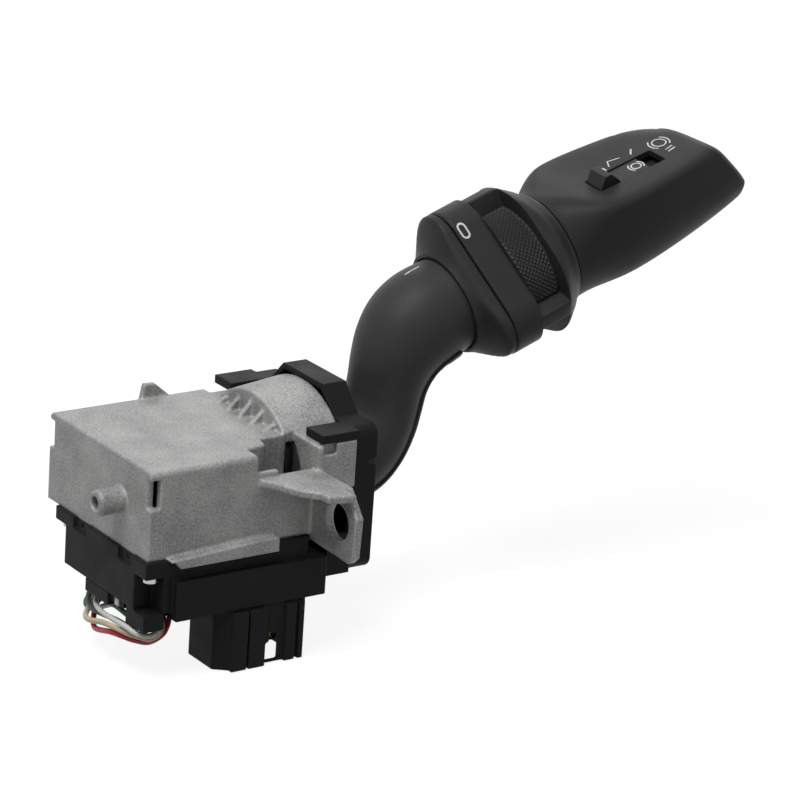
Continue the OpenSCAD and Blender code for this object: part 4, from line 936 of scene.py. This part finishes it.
class STALKSWITCH_OT_collar(SwitchOperator, bpy.types.Operator):
    """Fixed collar whose lobes fall away to a round neck at the stalk"""
    bl_idname = "stalk_switch.collar"
    bl_label = "Collar"

    def execute(self, context):
        # Place along the axis, radius at the lobes and at the flats
        outside = [(4, 28.6, 19.3), (3.6, 29, 19.6), (1.9, 29, 19.6), (1.3, 28.7, 19.5),
                   (0.6, 27.6, 19.3), (0.1, 26, 19.1), (-0.4, 24, 18.8), (-0.9, 22, 18.5),
                   (-1.5, 20.2, 18.1), (-2.3, 18.9, 17.8), (-3, 18.1, 17.7), (-3.4, 17.7, 17.5)]
        neck = STALK_R + STALK_FLARE + NECK_GAP
        inside = [(-3.4, neck), (-0.02, neck), (0, SLEEVE_R), (4, SLEEVE_R)]
        angles = range(0, 360, 2)
        rings = [[around(lobed_radius(out, flat, k), a, k) for k in angles]
                 for a, out, flat in outside]
        rings += [[around(r, a, k) for k in angles] for a, r in inside]
        skinned("collar_moulding", "collar", rings, closed=True, matrix=RING_FRAME, angle=36)
        return {"FINISHED"}


class STALKSWITCH_OT_selector_ring(SwitchOperator, bpy.types.Operator):
    """Selector ring with its three pockets and tapered rear"""
    bl_idname = "stalk_switch.selector_ring"
    bl_label = "Selector ring"

    def execute(self, context):
        places = [4.4, 4.55, 4.75, 5.0, 5.6, 8, 11, 13.5, 14.3, 14.55, 14.7, 14.8, 14.9, 15.0,
                  15.1, 15.4, 16.5, 19, 21.5, 24, 26, 26.8, 27.1, 27.2, 27.3, 27.4, 27.5, 27.65,
                  28, 28.7, 29.5, 30.3, 31, 31.8, 32.6, 33.2, 33.8, 34.6, 35.4, 36, 36.5, 37,
                  37.35, 37.5, 37.6]
        count = 360
        rings = [[around(SLEEVE_R, a, k) for k in range(count)] for a in (RING_A1, RING_A0)]
        rings += [[around(ring_radius(a, k), a, k) for k in range(count)] for a in places]
        skinned("ring_body", "selector_ring", rings, closed=True, matrix=RING_FRAME, angle=40)
        return {"FINISHED"}


class STALKSWITCH_OT_grip_pads(SwitchOperator, bpy.types.Operator):
    """Three elastomer pads with a diamond knurl cut in relief"""
    bl_idname = "stalk_switch.grip_pads"
    bl_label = "Grip pads"

    def execute(self, context):
        sizes = context.scene.stalk_switch_sizes
        pitch, height = sizes.knurl_pitch / MM, sizes.knurl_height / MM
        a0, a1 = BAND_A1 + PAD_GAP, PAD_A1 - PAD_GAP
        across = round((a1 - a0) / pitch) * 2
        along = round(2 * PAD_HALF / math.degrees(pitch / PAD_R)) * 2
        for number in range(3):
            middle = LOBE_TURN + 60 + 120 * number
            points, faces = [], []

            def point(r, i, j):
                return around(r, a0 + (a1 - a0) * i / across,
                              middle - PAD_HALF + 2 * PAD_HALF * j / along)

            for i in range(across + 1):
                for j in range(along + 1):
                    rim = i in (0, across) or j in (0, along)
                    peak = (i + j) % 2 and not rim
                    points.append(point(PAD_R - (0 if peak else height), i, j))
            top = len(points)
            row = along + 1
            for i in range(across):
                for j in range(along):
                    p, q, r, s = (i * row + j, i * row + j + 1, (i + 1) * row + j + 1,
                                  (i + 1) * row + j)
                    # The diagonal joins the two valley points, so that each peak is a pyramid
                    faces += [(p, q, r), (p, r, s)] if (i + j) % 2 == 0 else [(p, q, s), (q, r, s)]
            edge = ([(0, j) for j in range(along)] + [(i, along) for i in range(across)]
                    + [(across, j) for j in range(along, 0, -1)]
                    + [(i, 0) for i in range(across, 0, -1)])
            points += [point(POCKET_R + PAD_LIFT, i, j) for i, j in edge]
            n = len(edge)
            for k, (i, j) in enumerate(edge):
                nxt = edge[(k + 1) % n]
                faces.append((i * row + j, nxt[0] * row + nxt[1], top + (k + 1) % n, top + k))
            under = {place: top + k for k, place in enumerate(edge)}
            for j in range(along):
                far = range(1, across) if j == along - 1 else ()
                near = range(across - 1, 0, -1) if j == 0 else ()
                faces.append((under[0, j], under[0, j + 1], *(under[i, along] for i in far),
                              under[across, j + 1], under[across, j],
                              *(under[i, 0] for i in near)))
            pad = new_piece("grip_pad_%d" % (number + 1), (points, faces), RING_FRAME)
            dress(pad, "grip_pads", stands_for=("grip_pads",))
        return {"FINISHED"}


class STALKSWITCH_OT_knob(SwitchOperator, bpy.types.Operator):
    """Knob shell, the cover under its seam and the lip behind the seam"""
    bl_idname = "stalk_switch.knob"
    bl_label = "Knob"

    def execute(self, context):
        seam = context.scene.stalk_switch_sizes.seam / MM
        shell = new_piece("knob_shell_skin", knob_skin())
        carve(shell, self.below_seam(0))
        slot = [rounded_rectangle((-grow, SLOT_Y - SLOT_W / 2 - grow),
                                  (SLOT_L + grow, SLOT_Y + SLOT_W / 2 + grow), 0.7 + grow, z)
                for grow, z in ((0, -4), (0, -0.45), (0.08, -0.2), (0.25, 0.02), (0.5, 0.3),
                                (0.5, 3))]
        cut(shell, slot, knob_top(SLOT_A))
        bore_r = BUTTON_R + BUTTON_GAP
        bore = [[(BUTTON_A + bore_r * math.cos(t), y, bore_r * math.sin(t)) for t in turn(64)]
                for y in (8, 30)]
        cut(shell, bore)
        recess = [[(x, y, z)
                   for x, z, _ in rounded_rectangle((RECESS_LOW[0] - g, RECESS_LOW[1] - g),
                                                    (RECESS_HIGH[0] + g, RECESS_HIGH[1]), 3, 0)]
                  for g, y in ((0, 15.6), (0.6, 16.2), (0.9, 30))]
        cut(shell, recess)
        cover = new_piece("knob_cover_skin", knob_skin())
        carve(cover, self.below_seam(-seam), "INTERSECT")
        for a, bottom in SCREW_PLACES:
            hole = [[(a + r * math.cos(t), r * math.sin(t), z) for t in turn(32)]
                    for r, z in ((SCREW_HEAD_R, -30), (SCREW_HEAD_R, 0.8 - bottom),
                                 (SCREW_R, 0.9 - bottom), (SCREW_R, -6))]
            cut(cover, hole)
        # Lip of the cover behind the seam, so that no light comes through the gap
        lip = new_piece("knob_seam_lip", knob_skin(LIP_INSET))
        carve(lip, self.below_seam(LIP_TOP, LIP_DEPTH), "INTERSECT")
        for obj, node, stands_for in ((shell, "knob_shell", ("knob_shell",)),
                                      (cover, "knob_cover", ("knob_cover",)),
                                      (lip, "knob_cover", ())):
            obj.data.transform(Matrix.Scale(MM, 4) @ KNOB_FRAME @ Matrix.Scale(1 / MM, 4))
            dress(shade(obj, 35), node, stands_for=stands_for)
        return {"FINISHED"}

    def below_seam(self, lift, depth=30):
        """Block under the seam's plane, which rises along the knob."""
        along, down, tilt = SEAM_PLANE
        place = Matrix.Translation((KNOB_A0 + along, -40, lift - down))
        return made_mesh("below", *block((0, 0, -depth), (90, 80, 0)),
                         matrix=place @ Matrix.Rotation(math.radians(-tilt), 4, "Y"))


class STALKSWITCH_OT_controls(SwitchOperator, bpy.types.Operator):
    """Slide switch on the knob's top and push button on its back"""
    bl_idname = "stalk_switch.controls"
    bl_label = "Slide switch and push button"

    def execute(self, context):
        edge = context.scene.stalk_switch_sizes.fine_edge
        for node, name in (("slider", "slide_thumb"), ("push_button", "button_cap")):
            softened(node, name, edge)
        return {"FINISHED"}


class STALKSWITCH_OT_marks(SwitchOperator, bpy.types.Operator):
    """Plain printed marks: index line, zero on the ring, lines and rings on the knob"""
    bl_idname = "stalk_switch.marks"
    bl_label = "Printed marks"

    def execute(self, context):
        width = context.scene.stalk_switch_sizes.mark_width / MM
        rings = stalk_rings()
        first, last, line_at = INDEX_AT
        step = (rings[first][0] - rings[first + 1][0]).length
        # Degrees of 1 mm round the stalk and round the band
        stalk_turn, band_turn = (math.degrees(1 / r) for r in (rings[first][2], BAND_R))

        def stalk(u, v):
            i, angle = first + u / step, line_at - v * stalk_turn
            low, high = (stalk_point(ring, 0, angle) for ring in rings[int(i):int(i) + 2])
            return low.lerp(high, i - int(i))

        def band(u, v):
            angle = v * band_turn
            return RING_FRAME @ Vector(around(ring_radius(u, angle), u, angle))

        def knob(u, v):
            return KNOB_FRAME @ Vector((u, v, knob_height(u, v)))

        def plate(u, v):
            return KNOB_FRAME @ knob_top(SLOT_A) @ Vector((u, v, -0.5))

        x, y = ZERO_AT[0], ZERO_AT[1] / band_turn
        zero = arc(x, y + 1, 1.25, 0, 180) + arc(x, y - 1, 1.25, 180, 360) + [(x + 1.25, y + 1)]
        printed("mark_ring_zero", [zero], band, width, "selector_ring")
        index = [(0, 0), (step * (last - first), 0)]
        printed("mark_stalk_index", [index], stalk, width, "stalk_tube")
        on_knob = (
            ("mark_slide_tick", 1, [[(66.6, -1.3), (66.4, 0.9)]]),
            ("mark_slide_range", 0.7, [[(68.6, -0.1), (70.2, 3.0), (74.6, 1.8)]]),
            ("mark_one", 1, [[(78.4, 0.6), (80.6, 3.4)]]),
            ("mark_knob_ring", 0.8, [*self.ring_icon(89.6, -0.4, 2.4, 3.7),
                                     [(88.3, -5.6), (91.6, -4.9)], [(88.2, -7.2), (91.5, -6.5)]]),
        )
        for name, share, strokes in on_knob:
            printed(name, strokes, knob, width * share, "knob_shell")
        printed("mark_slider_ring", self.ring_icon(18.2, SLOT_Y + 0.1, 1.7, 2.7), plate,
                width * 0.8, "slider", lift=0.06)
        return {"FINISHED"}

    def ring_icon(self, x, y, inner, outer):
        """Circle between two arcs."""
        return [arc(x, y, inner, 0, 360), arc(x, y, outer, -50, 50), arc(x, y, outer, 130, 230)]


class STALKSWITCH_PT_panel(bpy.types.Panel):
    """Sizes, colours and the pieces of the stalk switch"""
    bl_idname = "STALKSWITCH_PT_panel"
    bl_label = "Stalk Switch"
    bl_space_type = "VIEW_3D"
    bl_region_type = "UI"
    bl_category = "Stalk Switch"

    def draw(self, context):
        layout = self.layout
        for group in (context.scene.stalk_switch_sizes, context.scene.stalk_switch_colours):
            box = layout.box()
            for name in group.__annotations__:
                box.prop(group, name)
        for operator in OPERATORS:
            layout.operator(operator.bl_idname)


OPERATORS = (
    STALKSWITCH_OT_stage, STALKSWITCH_OT_frame_finishes, STALKSWITCH_OT_housing,
    STALKSWITCH_OT_mouldings, STALKSWITCH_OT_leads, STALKSWITCH_OT_stalk, STALKSWITCH_OT_collar,
    STALKSWITCH_OT_selector_ring, STALKSWITCH_OT_grip_pads, STALKSWITCH_OT_knob,
    STALKSWITCH_OT_controls, STALKSWITCH_OT_marks,
)
CLASSES = (StalkSwitchColours, StalkSwitchSizes, *OPERATORS, STALKSWITCH_PT_panel)


def register():
    for one in CLASSES:
        bpy.utils.register_class(one)
    bpy.types.Scene.stalk_switch_colours = bpy.props.PointerProperty(type=StalkSwitchColours)
    bpy.types.Scene.stalk_switch_sizes = bpy.props.PointerProperty(type=StalkSwitchSizes)


def unregister():
    del bpy.types.Scene.stalk_switch_sizes
    del bpy.types.Scene.stalk_switch_colours
    for one in reversed(CLASSES):
        bpy.utils.unregister_class(one)


def main():
    register()
    for operator in OPERATORS:
        group, name = operator.bl_idname.split(".")
        getattr(getattr(bpy.ops, group), name)()


if __name__ == "__main__":
    main()
